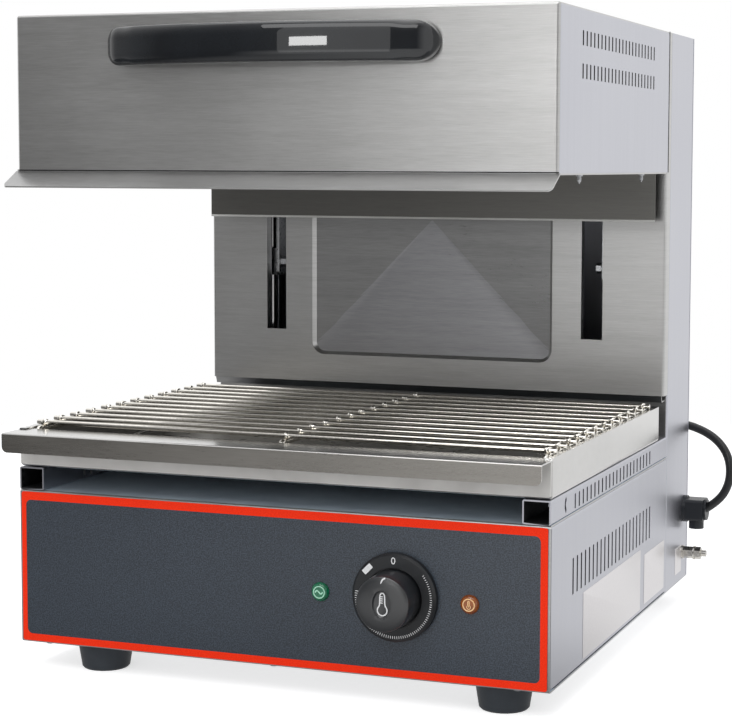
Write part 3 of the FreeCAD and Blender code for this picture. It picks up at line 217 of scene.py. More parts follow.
def inked(name, points, width, proud, order=3, closed=False):
    # a printed line on the floor through points in millimetres, pressed nearly flat
    places = [(mm(x), mm(y), 0) for x, y in points]
    line = meshed(curveAlong(name, places, width / 2, order, detail=2, steps=5, closed=closed))
    line.data.transform(Matrix.Diagonal((1, 1, 2 * proud / width, 1)))
    return smoothed(facingOut(line), 60)


def finished(piece, body, material, slot, *stoodFor):
    piece.data.materials.clear()
    piece.data.materials.append(material)
    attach(piece, body)
    if stoodFor:
        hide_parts(*stoodFor)
    return piece


def polished(node, angle=32, weld=0.01):
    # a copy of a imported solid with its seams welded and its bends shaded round
    piece = bpy.data.objects.new(node + "_finished", nodes[node].data.copy())
    bpy.context.scene.collection.objects.link(piece)
    only(piece)
    if piece.data.has_custom_normals:
        bpy.ops.mesh.customdata_custom_splitnormals_clear()
    bpy.ops.object.mode_set(mode="EDIT")
    bpy.ops.mesh.select_all(action="SELECT")
    bpy.ops.mesh.remove_doubles(threshold=mm(weld))
    bpy.ops.object.mode_set(mode="OBJECT")
    smoothed(piece, angle)
    applied(piece, "WEIGHTED_NORMAL", keep_sharp=True, weight=80)
    return finished(piece, bodyOf[node], finishes[slotOf[node]], slotOf[node], node)


# Camera, at the photograph's viewing angle
cameraPlan = {"place": (0.6204, -1.5716, 0.4119), "turn": 20.480, "tilt": -4.831, "roll": 0.189,
              "sensor": 36, "lens": 96.08, "shift": (-0.0738, -0.0389)}


def makeCamera():
    bpy.ops.object.camera_add(location=cameraPlan["place"])
    camera = bpy.context.active_object
    camera.name = "photo_camera"
    turn = (Matrix.Rotation(math.radians(cameraPlan["turn"]), 4, "Z")
            @ Matrix.Rotation(math.radians(90 + cameraPlan["tilt"]), 4, "X")
            @ Matrix.Rotation(math.radians(cameraPlan["roll"]), 4, "Z"))
    camera.rotation_euler = turn.to_euler()
    camera.data.sensor_width = cameraPlan["sensor"]
    camera.data.lens = cameraPlan["lens"]
    camera.data.shift_x, camera.data.shift_y = cameraPlan["shift"]
    bpy.context.scene.camera = camera


makeCamera()
print("camera placed")


# Finishes: every material is grown from noise on the piece's own coordinates
def blank(name, colour, roughness, metallic=0.0):
    material = bpy.data.materials.new(name)
    material.use_nodes = True
    tree = material.node_tree
    shader = tree.nodes["Principled BSDF"]
    shader.inputs["Base Color"].default_value = (*colour, 1)
    shader.inputs["Roughness"].default_value = roughness
    shader.inputs["Metallic"].default_value = metallic
    return material, tree, shader


def wired(tree, kind, settings=None, **sockets):
    node = tree.nodes.new("ShaderNode" + kind)
    for key, value in (settings or {}).items():
        setattr(node, key, value)
    for key, value in sockets.items():
        numbered = key[0] == "i" and key[1:].isdigit()
        target = node.inputs[int(key[1:]) if numbered else key.replace("_", " ")]
        if isinstance(value, bpy.types.NodeSocket):
            tree.links.new(value, target)
        else:
            target.default_value = value
    return node


def calc(tree, operation, a, b):
    return wired(tree, "Math", {"operation": operation}, i0=a, i1=b).outputs[0]


def tinted(tree, share, a, b):
    # a colour between a and b
    node = tree.nodes.new("ShaderNodeMix")
    node.data_type = "RGBA"
    for socket, value in ((node.inputs[0], share), (node.inputs[6], a), (node.inputs[7], b)):
        if isinstance(value, bpy.types.NodeSocket):
            tree.links.new(value, socket)
        elif isinstance(value, tuple):
            socket.default_value = (*value[:3], 1)
        else:
            socket.default_value = value
    return node.outputs[2]


def ranged(tree, value, low, high, outLow=0.0, outHigh=1.0):
    return wired(tree, "MapRange", {"clamp": True}, Value=value, From_Min=low, From_Max=high,
                 To_Min=outLow, To_Max=outHigh).outputs[0]


def placeOf(tree, scale=(1, 1, 1), shift=(0, 0, 0)):
    here = wired(tree, "TexCoord").outputs["Object"]
    return wired(tree, "Mapping", Vector=here, Scale=scale, Location=shift).outputs[0]


def clouded(tree, scale, detail=2.0, roughness=0.5, shift=(0, 0, 0)):
    where = placeOf(tree, scale, shift)
    return wired(tree, "TexNoise", Vector=where, Scale=1.0, Detail=detail, Roughness=roughness).outputs[0]


def bumped(tree, shader, height, strength, distance=0.2):
    bump = wired(tree, "Bump", Height=height, Strength=strength, Distance=mm(distance))
    tree.links.new(bump.outputs[0], shader.inputs["Normal"])


levelGrain = (60.0, 60.0, 1300.0)  # runs level round the casing
noiseSpan = (0.3, 0.7)  # noise seldom leaves this span
grainSpan = (0.25, 0.75)
pairSpan = (0.7, 1.3)  # two noises added
speckSpan = (0.40, 0.60)


def brushedSteel(name, dark, light, rough, grain=levelGrain, cloud=(5, 5, 7), shares=(0.5, 0.25, 0.25),
                 bump=0.03):
    # fine grain along one direction, longer faint streaks, and slow clouds where hands wiped it
    material, tree, shader = blank(name, light, rough[0], 1.0)
    fine = clouded(tree, grain, 5.0, 0.7)
    streak = clouded(tree, tuple(value / 7 for value in grain), 3.0, 0.6, (3, 7, 1))
    wiped = clouded(tree, cloud, 2.0, 0.5, (1, 4, 2))
    parts = [calc(tree, "MULTIPLY", ranged(tree, source, *grainSpan), share)
             for source, share in zip((fine, streak, wiped), shares)]
    tone = calc(tree, "ADD", calc(tree, "ADD", parts[0], parts[1]), parts[2])
    tree.links.new(tinted(tree, tone, dark, light), shader.inputs["Base Color"])
    both = calc(tree, "ADD", fine, wiped)
    tree.links.new(ranged(tree, both, *pairSpan, *rough), shader.inputs["Roughness"])
    bumped(tree, shader, fine, bump)
    return material


def plainMetal(name, dark, light, rough, size=400, bump=0.05):
    material, tree, shader = blank(name, light, rough, 1.0)
    mottle = clouded(tree, (size, size, size), 3.0)
    tree.links.new(tinted(tree, ranged(tree, mottle, *noiseSpan), dark, light), shader.inputs["Base Color"])
    tree.links.new(ranged(tree, mottle, *noiseSpan, rough * 0.8, rough * 1.25), shader.inputs["Roughness"])
    bumped(tree, shader, mottle, bump)
    return material


def moulded(name, dark, light, rough, size=900, bump=0.1, coat=0.0, coatRough=0.1, coatIndex=1.5, index=1.5):
    material, tree, shader = blank(name, light, rough)
    shader.inputs["IOR"].default_value = index
    grain = clouded(tree, (size, size, size))
    wide = clouded(tree, (30, 30, 30), shift=(2, 1, 5))
    tree.links.new(tinted(tree, ranged(tree, wide, *noiseSpan), dark, light), shader.inputs["Base Color"])
    tree.links.new(ranged(tree, grain, *noiseSpan, rough * 0.85, rough * 1.2), shader.inputs["Roughness"])
    shader.inputs["Coat Weight"].default_value = coat
    shader.inputs["Coat Roughness"].default_value = coatRough
    shader.inputs["Coat IOR"].default_value = coatIndex
    bumped(tree, shader, grain, bump)
    return material


def printedFilm(name, dark, light, rough, size=1500, index=1.5):
    # a matt film with a fine speckle all over
    material, tree, shader = blank(name, light, rough)
    speck = clouded(tree, (size, size, size), 2.0, 0.6)
    wide = clouded(tree, (9, 9, 9), shift=(2, 1, 5))
    share = calc(tree, "ADD", calc(tree, "MULTIPLY", ranged(tree, speck, *speckSpan), 0.8),
                 calc(tree, "MULTIPLY", wide, 0.2))
    tree.links.new(tinted(tree, share, dark, light), shader.inputs["Base Color"])
    shader.inputs["IOR"].default_value = index
    bumped(tree, shader, speck, 0.12, 0.1)
    return material


def clearLens(name, colour, glow, rough=0.12, clear=0.35, coat=0.6, coatRough=0.05):
    material, tree, shader = blank(name, colour, rough)
    wide = clouded(tree, (160, 160, 160), shift=(2, 1, 5))
    tree.links.new(tinted(tree, ranged(tree, wide, *noiseSpan), glow, colour), shader.inputs["Base Color"])
    shader.inputs["Transmission Weight"].default_value = clear
    shader.inputs["Coat Weight"].default_value = coat
    shader.inputs["Coat Roughness"].default_value = coatRough
    bumped(tree, shader, wide, 0.04)
    return material


finishes = {
    "casing_steel": brushedSteel("casing_steel_brushed", (0.38, 0.378, 0.372), (0.61, 0.608, 0.604),
                                 (0.29, 0.37), bump=0.012),
    # painted light: the side sheets get a lighter, bluer tone than the front steel; their upright grain is
    # real
    "side_steel": brushedSteel("side_steel_satin_painted_light", (0.475, 0.482, 0.525), (0.555, 0.562, 0.612), (0.30, 0.40),
                               grain=(1400, 1400, 26), cloud=(4, 5, 6), shares=(0.4, 0.25, 0.35)),
    "tray_steel": brushedSteel("tray_steel_bright", (0.50, 0.495, 0.485), (0.66, 0.655, 0.645), (0.12, 0.2),
                               grain=(20, 900, 1500), cloud=(6, 8, 6), shares=(0.4, 0.2, 0.4)),
    "wire_steel": plainMetal("wire_steel_plated", (0.80, 0.77, 0.71), (0.94, 0.91, 0.85), 0.10, bump=0.03),
    "zinc_steel": plainMetal("zinc_steel_plated", (0.42, 0.43, 0.45), (0.56, 0.57, 0.58), 0.32),
    "rod_steel": plainMetal("rod_steel_ground", (0.62, 0.62, 0.62), (0.72, 0.72, 0.72), 0.12),
    "spring_steel": plainMetal("spring_steel_oiled", (0.20, 0.20, 0.20), (0.32, 0.32, 0.32), 0.35),
    "element_steel": plainMetal("element_steel_tinted", (0.12, 0.11, 0.10), (0.22, 0.20, 0.18), 0.5, 120),
    "reflector_steel": plainMetal("reflector_steel_rolled", (0.40, 0.39, 0.37), (0.52, 0.51, 0.49), 0.3),
    "bond_brass": plainMetal("bond_metal_plain", (0.48, 0.46, 0.42), (0.66, 0.64, 0.60), 0.22),
    "bushing_bronze": plainMetal("bushing_bronze_sintered", (0.40, 0.28, 0.14), (0.55, 0.40, 0.22), 0.4),
    "pin_metal": plainMetal("pin_metal_nickel", (0.6, 0.6, 0.58), (0.72, 0.72, 0.70), 0.2),
    "rubber_black": moulded("rubber_black_matt", (0.022, 0.028, 0.036), (0.036, 0.044, 0.054), 0.42),
    "plastic_black": moulded("plastic_black_gloss", (0.004, 0.005, 0.007), (0.007, 0.009, 0.012), 0.30,
                             bump=0.01, coat=1.0, coatRough=0.02, coatIndex=1.55, index=1.2),
    "knob_satin": moulded("knob_plastic_satin", (0.006, 0.007, 0.009), (0.012, 0.014, 0.018), 0.34, bump=0.18,
                          coat=1.0, coatRough=0.28, coatIndex=1.6),
    "plastic_satin": moulded("plastic_black_satin", (0.008, 0.009, 0.011), (0.014, 0.016, 0.019), 0.34,
                             bump=0.16),
    "gland_plastic": moulded("gland_plastic_black", (0.006, 0.008, 0.012), (0.012, 0.015, 0.021), 0.36),
    "cord_rubber": moulded("cord_rubber_black", (0.006, 0.007, 0.008), (0.012, 0.013, 0.015), 0.36),
    "tie_plastic": moulded("tie_plastic_black", (0.020, 0.020, 0.020), (0.035, 0.035, 0.035), 0.4),
    "ceramic_white": moulded("ceramic_unglazed", (0.62, 0.60, 0.55), (0.74, 0.72, 0.67), 0.6),
    "terminal_plastic": moulded("terminal_plastic_pale", (0.55, 0.54, 0.50), (0.66, 0.65, 0.60), 0.5),
    "overlay_film": printedFilm("overlay_film_charcoal", (0.003, 0.006, 0.012), (0.046, 0.066, 0.094), 0.42,
                                size=1000, index=1.7),
    "lens_green": clearLens("lens_green_clear", (0.004, 0.13, 0.055), (0.01, 0.26, 0.12)),
    "lens_amber": clearLens("lens_amber_clear", (0.26, 0.055, 0.006), (0.50, 0.13, 0.012)),
}

# Finishes that only some faces or printed pieces have; several of them are painted light and painted shade
# painted reflection: the base's top under the tray gets a pale bluish matt tone in place of the light it
# mirrors in the shade there
baseTopPaintedReflection = moulded("base_top_painted_reflection", (0.50, 0.60, 0.69), (0.61, 0.71, 0.81), 0.4, 700)
# painted reflection: the tray's front wall under the lip gets a pale matt tone in place of the bright floor
# it mirrors
trayFrontPaintedReflection = moulded("tray_front_painted_reflection", (0.52, 0.51, 0.49), (0.66, 0.65, 0.625), 0.35, 700)
# painted highlight: a pale matt tone that stands for the bright glint along the back plate's folded hem
hemPaintedHighlight = moulded("hem_edge_painted_highlight", (0.60, 0.60, 0.58), (0.72, 0.72, 0.70), 0.4)
# painted shade: the lip's front face gets a darker copy of the tray steel; its brushed grain is real
lipPaintedShade = brushedSteel("lip_steel_brushed_painted_shade", (0.26, 0.247, 0.228), (0.38, 0.363, 0.338), (0.24, 0.32),
                          cloud=(9, 9, 40), shares=(0.4, 0.2, 0.4))
topSteel = brushedSteel("casing_steel_level", (0.44, 0.438, 0.43), (0.60, 0.597, 0.592), (0.27, 0.36),
                        grain=(26, 1300, 26))
# painted shade: the hood's back plate gets a much darker copy of the steel, for the shade under the hood
backPlatePaintedShade = brushedSteel("back_plate_brushed_painted_shade", (0.13, 0.128, 0.12), (0.20, 0.196, 0.185), (0.3, 0.4),
                         shares=(0.5, 0.2, 0.3), bump=0.06)
# painted shade and painted light on the tower cover's pressed field: a darker steel, and a lighter one for
# its faces that lean up
fieldPaintedShade = brushedSteel("pressed_field_painted_shade", (0.19, 0.19, 0.19), (0.36, 0.36, 0.36), (0.27, 0.36),
                          bump=0.012)
fieldPaintedLight = brushedSteel("pressed_field_painted_light", (0.24, 0.24, 0.25), (0.42, 0.42, 0.435), (0.27, 0.36),
                         bump=0.012)
# painted light: the visor gets its own steel tone, set for the light that bounces onto it; its grain is real
visorPaintedLight = brushedSteel("visor_steel_brushed_painted_light", (0.38, 0.38, 0.38), (0.56, 0.56, 0.56), (0.36, 0.44),
                          shares=(0.4, 0.3, 0.3))
# painted shade: the tray's floor gets a darker steel, for the shade under the hood
panPaintedShade = plainMetal("tray_floor_painted_shade", (0.20, 0.193, 0.178), (0.36, 0.35, 0.328), 0.3, 90)
# painted shade, partly real: the inner faces of the channels and side sheets are dark for the shade inside
# the casing, and dull as their unpolished backs
insideDullAndPaintedShade = plainMetal("sheet_inside_dull_and_painted_shade", (0.05, 0.052, 0.055), (0.09, 0.093, 0.098), 0.6)
# painted shadow: a dark steel for bars laid in the gaps between sheets, where there is only shade
seamPaintedShadow = plainMetal("seam_painted_shadow", (0.02, 0.02, 0.02), (0.04, 0.04, 0.04), 0.6)
plateFilm = plainMetal("plate_foil_pale", (0.74, 0.72, 0.73), (0.80, 0.785, 0.79), 0.42)
borderFilm = printedFilm("overlay_film_border", (0.80, 0.024, 0.003), (0.96, 0.038, 0.006), 0.5, index=1.22)
inkWhite = printedFilm("ink_white", (0.74, 0.75, 0.76), (0.86, 0.87, 0.88), 0.5)
inkGreen = printedFilm("ink_pale_green", (0.30, 0.62, 0.46), (0.45, 0.78, 0.60), 0.4)
inkAmber = printedFilm("ink_pale_amber", (0.80, 0.46, 0.20), (0.92, 0.60, 0.30), 0.4)
for node, piece in nodes.items():
    piece.data.materials.clear()
    piece.data.materials.append(finishes[slotOf[node]])
print("finishes made:", len(bpy.data.materials))


# Cord, coil, plug and tie
cordPlan = {
    "radius": 4.0, "length": 1839.0,
    "route": [(239.5, 439.5, 86.0), (257.2, 440.0, 96.0), (268.2, 442.0, 115.0), (266.8, 447.0, 137.5),
              (253.0, 456.0, 154.0), (230.0, 466.0, 163.5), (203.0, 471.0, 167.0), (176.0, 473.0, 160.0),
              (155.0, 474.5, 141.0), (143.0, 476.0, 115.0), (136.5, 479.0, 88.0), (133.5, 483.0, 64.0),
              (132.3, 488.5, 40.5), (131.8, 499.5, 21.2), (131.5, 515.5, 9.8), (131.5, 536.0, 5.8),
              (131.5, 556.0, 5.8)],
    "middle": (74.0, 564.5), "outer": 57.5, "pitch": 10.7, "rest": 5.8, "rise": 8.8,
    "inward": 2.5, "climb": 0.5, "outward": 2.25, "perTurn": 16,
    "tail": [(62.0, 14.6), (50.0, 15.8), (40.0, 18.2), (32.0, 19.3), (23.5, 19.3)],
}


def coilPlaces():
    # spiral in on the table, half a turn up, spiral out on top
    perTurn = cordPlan["perTurn"]
    inner = cordPlan["outer"] - cordPlan["pitch"] * cordPlan["inward"]
    climbed = cordPlan["inward"] + cordPlan["climb"]
    places = []
    for step in range(1, round((climbed + cordPlan["outward"]) * perTurn) + 1):
        turns = step / perTurn
        radius, rise = inner, 0.0
        if turns < cordPlan["inward"]:
            radius = cordPlan["outer"] - cordPlan["pitch"] * turns
        elif turns < climbed:
            share = (turns - cordPlan["inward"]) / cordPlan["climb"]
            rise = share * share * (3 - 2 * share)
        else:
            radius, rise = inner + cordPlan["pitch"] * (turns - climbed), 1.0
        angle = math.tau * turns
        places.append((cordPlan["middle"][0] + radius * math.cos(angle),
                       cordPlan["middle"][1] + radius * math.sin(angle),
                       cordPlan["rest"] + cordPlan["rise"] * rise))
    return places


def makeCord():
    coil = coilPlaces()
    tail = [(x, coil[-1][1], z) for x, z in cordPlan["tail"]]
    places = [spot(*place) for place in cordPlan["route"] + coil + tail]
    cord = curveAlong("mains_cord", places, cordPlan["radius"], 3, 5, 8)
    finished(cord, "base", finishes["cord_rubber"], "cord_rubber", "power_cord", "cord_coil")
    onCord = [polished("power_plug"), polished("plug_pins"), polished("cord_tie")]


makeCord()
print("cord laid")


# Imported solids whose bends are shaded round
bendPlan = {
    "angle": 32, "shallow": {"tower_cover": 14},  # its pressed field has shallow slopes
    "nodes": ["base_cover", "base_side_left", "base_side_right", "foot_front_left", "foot_front_right",
              "foot_rear_left", "foot_rear_right", "channel_left", "channel_right", "tower_side_left",
              "tower_side_right", "tower_cover", "guide_rods", "lift_spring_left", "lift_spring_right",
              "hood_shell", "hood_floor", "hood_reflector", "heating_element_front",
              "heating_element_rear", "element_insulators", "thermostat_bulb", "guide_bushings", "tray_pan",
              "grid_wires", "grid_supports", "dial_ring", "cable_gland", "green_lamp", "amber_lamp",
              "bonding_stud"],
}
bent = {}
for node in bendPlan["nodes"]:
    bent[node] = polished(node, bendPlan["shallow"].get(node, bendPlan["angle"]))
print("bends smoothed:", len(bent))


# Second finishes on some faces of these pieces, found by their place and by where they look; most of them are
# painted light and painted shade
facePlan = {
    "straight": 0.9, "baseTop": 0.95, "inward": 0.7, "hoodSkin": 0.6, "runnerSkin": 0.8,
    "visor": {"up": 0.5, "front": 0.3},
    "field": {"left": -135, "right": 160, "deep": 0.4, "upward": 0.004},
    "tray": {"floor": 6, "lip": 2, "wall": 1, "wallSpan": 1, "wallTop": 190},
}


def refinished(piece, material, chosen):
    piece.data.materials.append(material)
    for face in piece.data.polygons:
        if chosen(face.normal, face.center):
            face.material_index = len(piece.data.materials) - 1


def looksUp(normal):
    return normal.z > facePlan["straight"]


def looksForward(normal):
    return normal.y < -facePlan["straight"]


def finishBase():
    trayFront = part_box("tray_pan")[0].y
    skin = mm(facePlan["runnerSkin"])
    # painted reflection on the base's top behind the tray's front edge
    refinished(bent["base_cover"], baseTopPaintedReflection,
               lambda normal, centre: normal.z > facePlan["baseTop"] and centre.y > trayFront)
    # painted shade inside the channels and on the inner faces of the side sheets, over their real dull backs
    for side, way in (("left", 1), ("right", -1)):
        low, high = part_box("channel_" + side)
        refinished(bent["channel_" + side], insideDullAndPaintedShade,
                   lambda normal, centre: low.x + skin < centre.x < high.x - skin
                   and low.z + skin < centre.z < high.z - skin)
        for sheet in ("base_side_", "tower_side_"):
            refinished(bent[sheet + side], insideDullAndPaintedShade,
                       lambda normal, centre: normal.x * way > facePlan["inward"])


def finishTray():
    plan = facePlan["tray"]
    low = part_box("tray_pan")[0]
    wall = spot(0, plan["wall"], 0).y
    pan = bent["tray_pan"]
    # painted shade on the tray's floor
    refinished(pan, panPaintedShade,
               lambda normal, centre: looksUp(normal) and centre.z < low.z + mm(plan["floor"]))
    # painted shade on the lip's front face
    refinished(pan, lipPaintedShade,
               lambda normal, centre: looksForward(normal) and centre.y < low.y + mm(plan["lip"]))
    # painted reflection on the tray's front wall under the lip
    refinished(pan, trayFrontPaintedReflection,
               lambda normal, centre: looksForward(normal) and abs(centre.y - wall) < mm(plan["wallSpan"])
               and centre.z < mm(plan["wallTop"]))


def finishTower():
    # the pressed field gets painted shade, a darker steel than the cover, and its faces that lean up get
    # painted light, a lighter steel
    plan = facePlan["field"]
    cover = bent["tower_cover"]
    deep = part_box("tower_cover")[0].y + mm(plan["deep"])
    left, right = [spot(plan[side], 0, 0).x for side in ("left", "right")]

    def inField(normal, centre):
        return looksForward(normal) and centre.y > deep and left < centre.x < right

    refinished(cover, fieldPaintedShade,
               lambda normal, centre: inField(normal, centre) and normal.z <= plan["upward"])
    refinished(cover, fieldPaintedLight,
               lambda normal, centre: inField(normal, centre) and normal.z > plan["upward"])
    refinished(cover, topSteel, lambda normal, centre: looksUp(normal))


def finishHood():
    visor = facePlan["visor"]
    low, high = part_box("hood_shell")
    skin = mm(facePlan["hoodSkin"])
    # painted light on the visor's upward front faces
    refinished(bent["hood_floor"], visorPaintedLight,
               lambda normal, centre: normal.z > visor["up"] and normal.y < -visor["front"])
    refinished(bent["hood_shell"], topSteel, lambda normal, centre: looksUp(normal))
    # painted light: the hood's side faces get the side steel, lighter and bluer than its front
    refinished(bent["hood_shell"], finishes["side_steel"],
               lambda normal, centre: abs(normal.x) > facePlan["straight"]
               and not low.x + skin < centre.x < high.x - skin)
    # painted shade on the back plate under the hood
    nodes["hood_back_plate"].data.materials[0] = backPlatePaintedShade


finishBase()
finishTray()
finishTower()
finishHood()
print("faces finished")


# Front panel: the printed border round the film, with a square outside and round corners inside
borderPlan = {"outer": (-223.4, 223.4, 23.6, 146.4), "inner": (-219.2, 217.8, 29.4, 139.8),
              "outerCorner": 2.0, "innerCorner": 4.5, "proud": 0.12, "face": -0.62}


def sheetBetween(name, sides, corner, thick, segments):
    # a thin plate on the floor between its left, right, lower and upper sides
    left, right, low, high = sides
    sheet = plate(name, right - left, high - low, corner, thick, segments=segments)
    sheet.data.transform(Matrix.Translation((mm(left + right) / 2, mm(low + high) / 2, 0)))
    return sheet


def makeBorder():
    thick = borderPlan["proud"]
    sheet = sheetBetween("overlay_border", borderPlan["outer"], borderPlan["outerCorner"], thick, 4)
    window = sheetBetween("border_window", borderPlan["inner"], borderPlan["innerCorner"], thick * 4, 8)
    window.data.transform(Matrix.Translation((0, 0, -mm(thick * 2))))
    applied(sheet, "BOOLEAN", object=window, operation="DIFFERENCE", solver="EXACT")
    dropped(window)
    turned(sheet, (0, -1, 0), spot(0, borderPlan["face"], 0))
    return finished(smoothed(sheet), "base", borderFilm, "overlay_film")


makeBorder()
print("border printed")


# Printed signs: on the dial ring, the lamps and the knob
signPlan = {
    "ink": 0.1,
    "dialProud": 0.02,
    "ticks": {"from": 52.0, "to": 275.0, "step": 3.3, "outer": 31.2, "short": 1.3, "long": 2.7,
              "width": 0.45},
    "zero": {"radius": 28.6, "width": 2.9, "height": 4.9, "line": 0.75, "points": 10},
    "start": {"angle": 315.0, "radius": 29.6, "long": 8.6, "wide": 4.3, "corner": 0.5},
    "lampProud": 0.03,
    "ring": {"radius": 4.7, "line": 0.9, "points": 12},
    "wave": {"line": 1.1, "points": [(-3.2, -0.4), (-2.2, 1.3), (-1.1, 1.1), (0.0, 0.0), (1.1, -1.1),
                                     (2.2, -1.3), (3.2, 0.4)]},
    "heat": {"tall": 6.4, "line": 0.55},
    "thermometer": {"bulb": 0.235, "stem": 0.115, "neck": 0.30, "shoulder": 0.44, "taper": 0.8, "ink": 0.12,
                    "core": 0.02},
    "marks": {"count": 4, "first": 0.06, "step": 0.09, "long": 1.1, "line": 0.7, "aside": 0.35, "ink": 0.06},
}


def middleOf(box):
    return (box[0] + box[1]) / 2


def onFront(name, pieces, centre, face):
    # joins flat pieces drawn round the origin and stands them on a front face, their top outwards
    sign = merged(name, pieces) if len(pieces) > 1 else pieces[0]
    sign.name = sign.data.name = name
    return turned(sign, (0, -1, 0), Vector((centre.x, face, centre.z)))


def loopPoints(across, up, count, height=0.0):
    return [(across * math.sin(math.tau * turn / count), height + up * math.cos(math.tau * turn / count))
            for turn in range(count)]


def roundDial(degrees):
    return Matrix.Rotation(-math.radians(degrees), 4, "Z")


def makeDialPrint():
    ticks, zero, start = signPlan["ticks"], signPlan["zero"], signPlan["start"]
    pieces = []
    count = round((ticks["to"] - ticks["from"]) / ticks["step"])
    first = plate("tick", ticks["width"], 1.0, 0.0, signPlan["ink"])
    for step in range(count + 1):
        long = ticks["short"] + (ticks["long"] - ticks["short"]) * step / count
        outward = Matrix.Translation((0, mm(ticks["outer"] - long / 2), 0)) @ Matrix.Diagonal((1, long, 1, 1))
        pieces.append(copied(first, "tick", turn=roundDial(ticks["from"] + ticks["step"] * step) @ outward))
    dropped(first)
    ring = loopPoints(zero["width"] / 2, zero["height"] / 2, zero["points"], zero["radius"])
    pieces.append(inked("zero", ring, zero["line"], signPlan["ink"], 4, True))
    block = plate("start", start["long"], start["wide"], start["corner"], signPlan["ink"])
    block.data.transform(roundDial(start["angle"]) @ Matrix.Translation((0, mm(start["radius"]), 0)))
    pieces.append(block)
    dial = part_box("dial_ring")
    sign = onFront("dial_print", pieces, middleOf(dial), dial[0].y - mm(signPlan["dialProud"]))
    return finished(sign, "base", inkWhite, "plastic_satin")


def thermometer(name, tall, line, filled):
    # a bulb with a stem, drawn as an outline, with marks inside and, where it is filled, a column
    shape, marks = signPlan["thermometer"], signPlan["marks"]
    bulb, stem = tall * shape["bulb"], tall * shape["stem"]
    foot = bulb - tall / 2
    reach = math.pi - math.asin(stem / bulb)
    outline = [(bulb * math.sin(angle), foot - bulb * math.cos(angle))
               for angle in [reach * (step / 8 * 2 - 1) for step in range(9)]]
    side = [(stem, tall * shape["neck"]), (stem * shape["taper"], tall * shape["shoulder"])]
    outline += side + [(0, tall / 2)] + [(-x, y) for x, y in reversed(side)]
    pieces = [inked(name + "_outline", outline, line, shape["ink"], 3, True)]
    first = plate(name + "_mark", stem * marks["long"], line * marks["line"], 0.0, marks["ink"])
    for number in range(marks["count"]):
        height = tall * (marks["first"] + marks["step"] * number)
        pieces.append(copied(first, name + "_mark", (mm(-stem * marks["aside"]), mm(height), 0)))
    dropped(first)
    if filled:
        pieces.append(inked(name + "_core", [(0, foot), (0, tall * shape["core"])], line, shape["ink"], 2))
    return pieces


def makeLampPrint(node, material, pieces):
    ring = signPlan["ring"]
    points = loopPoints(ring["radius"], ring["radius"], ring["points"])
    pieces.append(inked(node + "_ring", points, ring["line"], signPlan["ink"], 4, True))
    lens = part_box(node)
    sign = onFront(node + "_print", pieces, middleOf(lens), lens[0].y - mm(signPlan["lampProud"]))
    return finished(sign, "base", material, slotOf[node])


# Knob: a drawn-in barrel with a domed face and an oval recess that holds the sign
knobPlan = {
    "foot": 22.0, "footRise": 1.0, "rim": 21.2, "rimTurn": (1.2, 0.4), "dome": 1.8,
    "domeRings": (0.8, 0.62, 0.44, 0.26, 0.06),
    "oval": (7.3, 11.0), "deep": 2.6, "bowlFloor": 0.84, "bowlRings": (0.0, 0.06, 0.15, 0.3, 0.5, 0.75, 1.0),
    "overrun": (0.5, 5.0), "edge": 0.25, "sign": {"tall": 17.5, "line": 1.0},
    "pointer": {"line": 1.15, "ink": 0.3, "sunk": 1.3,
                "points": [(-0.9, 15.2), (-0.3, 17.0), (0.4, 18.6), (1.5, 19.7), (3.0, 20.2)]},
}


def makeKnob():
    plan, pointer = knobPlan, knobPlan["pointer"]
    low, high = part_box("thermostat_knob")
    reach = (high.y - low.y) * 1000
    rise = reach - plan["dome"]
    turn, roll = plan["rimTurn"]
    rings = [(plan["foot"], 0), (plan["foot"], plan["footRise"]), (plan["rim"], rise - turn),
             (plan["rim"] - roll, rise - roll), (plan["rim"] - turn, rise)]
    rings += [(plan["rim"] * share, rise + plan["dome"] * (1 - share * share)) for share in plan["domeRings"]]
    knob = lathe("thermostat_knob_cap", rings, 72, 50)
    wide, tall = plan["oval"]
    flare = 1 - plan["bowlFloor"]
    bowl = [(wide * (plan["bowlFloor"] + flare * math.sqrt(1 - (1 - share) ** 2)), plan["deep"] * share)
            for share in plan["bowlRings"]]
    bowl.append((wide + plan["overrun"][0], plan["deep"] + plan["overrun"][1]))
    recess = lathe("recess", bowl, 48)
    inward = Matrix.Translation((0, 0, mm(reach - plan["deep"])))
    recess.data.transform(inward @ Matrix.Diagonal((1, tall / wide, 1, 1)))
    applied(knob, "BOOLEAN", object=recess, operation="DIFFERENCE", solver="EXACT")
    dropped(recess)
    rounded(knob, plan["edge"], 2, 35)
    smoothed(knob, 32)
    centre = middleOf((low, high))
    turned(knob, (0, -1, 0), Vector((centre.x, high.y, centre.z)))
    finished(knob, "knob", finishes["knob_satin"], "plastic_black", "thermostat_knob")
    drawn = thermometer("knob_sign", plan["sign"]["tall"], plan["sign"]["line"], False)
    sign = onFront("knob_sign", drawn, centre, low.y + mm(plan["deep"]))
    finished(sign, "knob", inkWhite, "plastic_black")
    hook = inked("knob_pointer", pointer["points"], pointer["line"], pointer["ink"])
    hand = onFront("knob_pointer", [hook], centre, low.y + mm(pointer["sunk"]))
    finished(hand, "knob", inkWhite, "plastic_black")


makeDialPrint()
makeKnob()
wave, heat = signPlan["wave"], signPlan["heat"]
makeLampPrint("green_lamp", inkGreen, [inked("wave", wave["points"], wave["line"], signPlan["ink"])])
makeLampPrint("amber_lamp", inkAmber, thermometer("heat", heat["tall"], heat["line"], True))
print("controls printed")


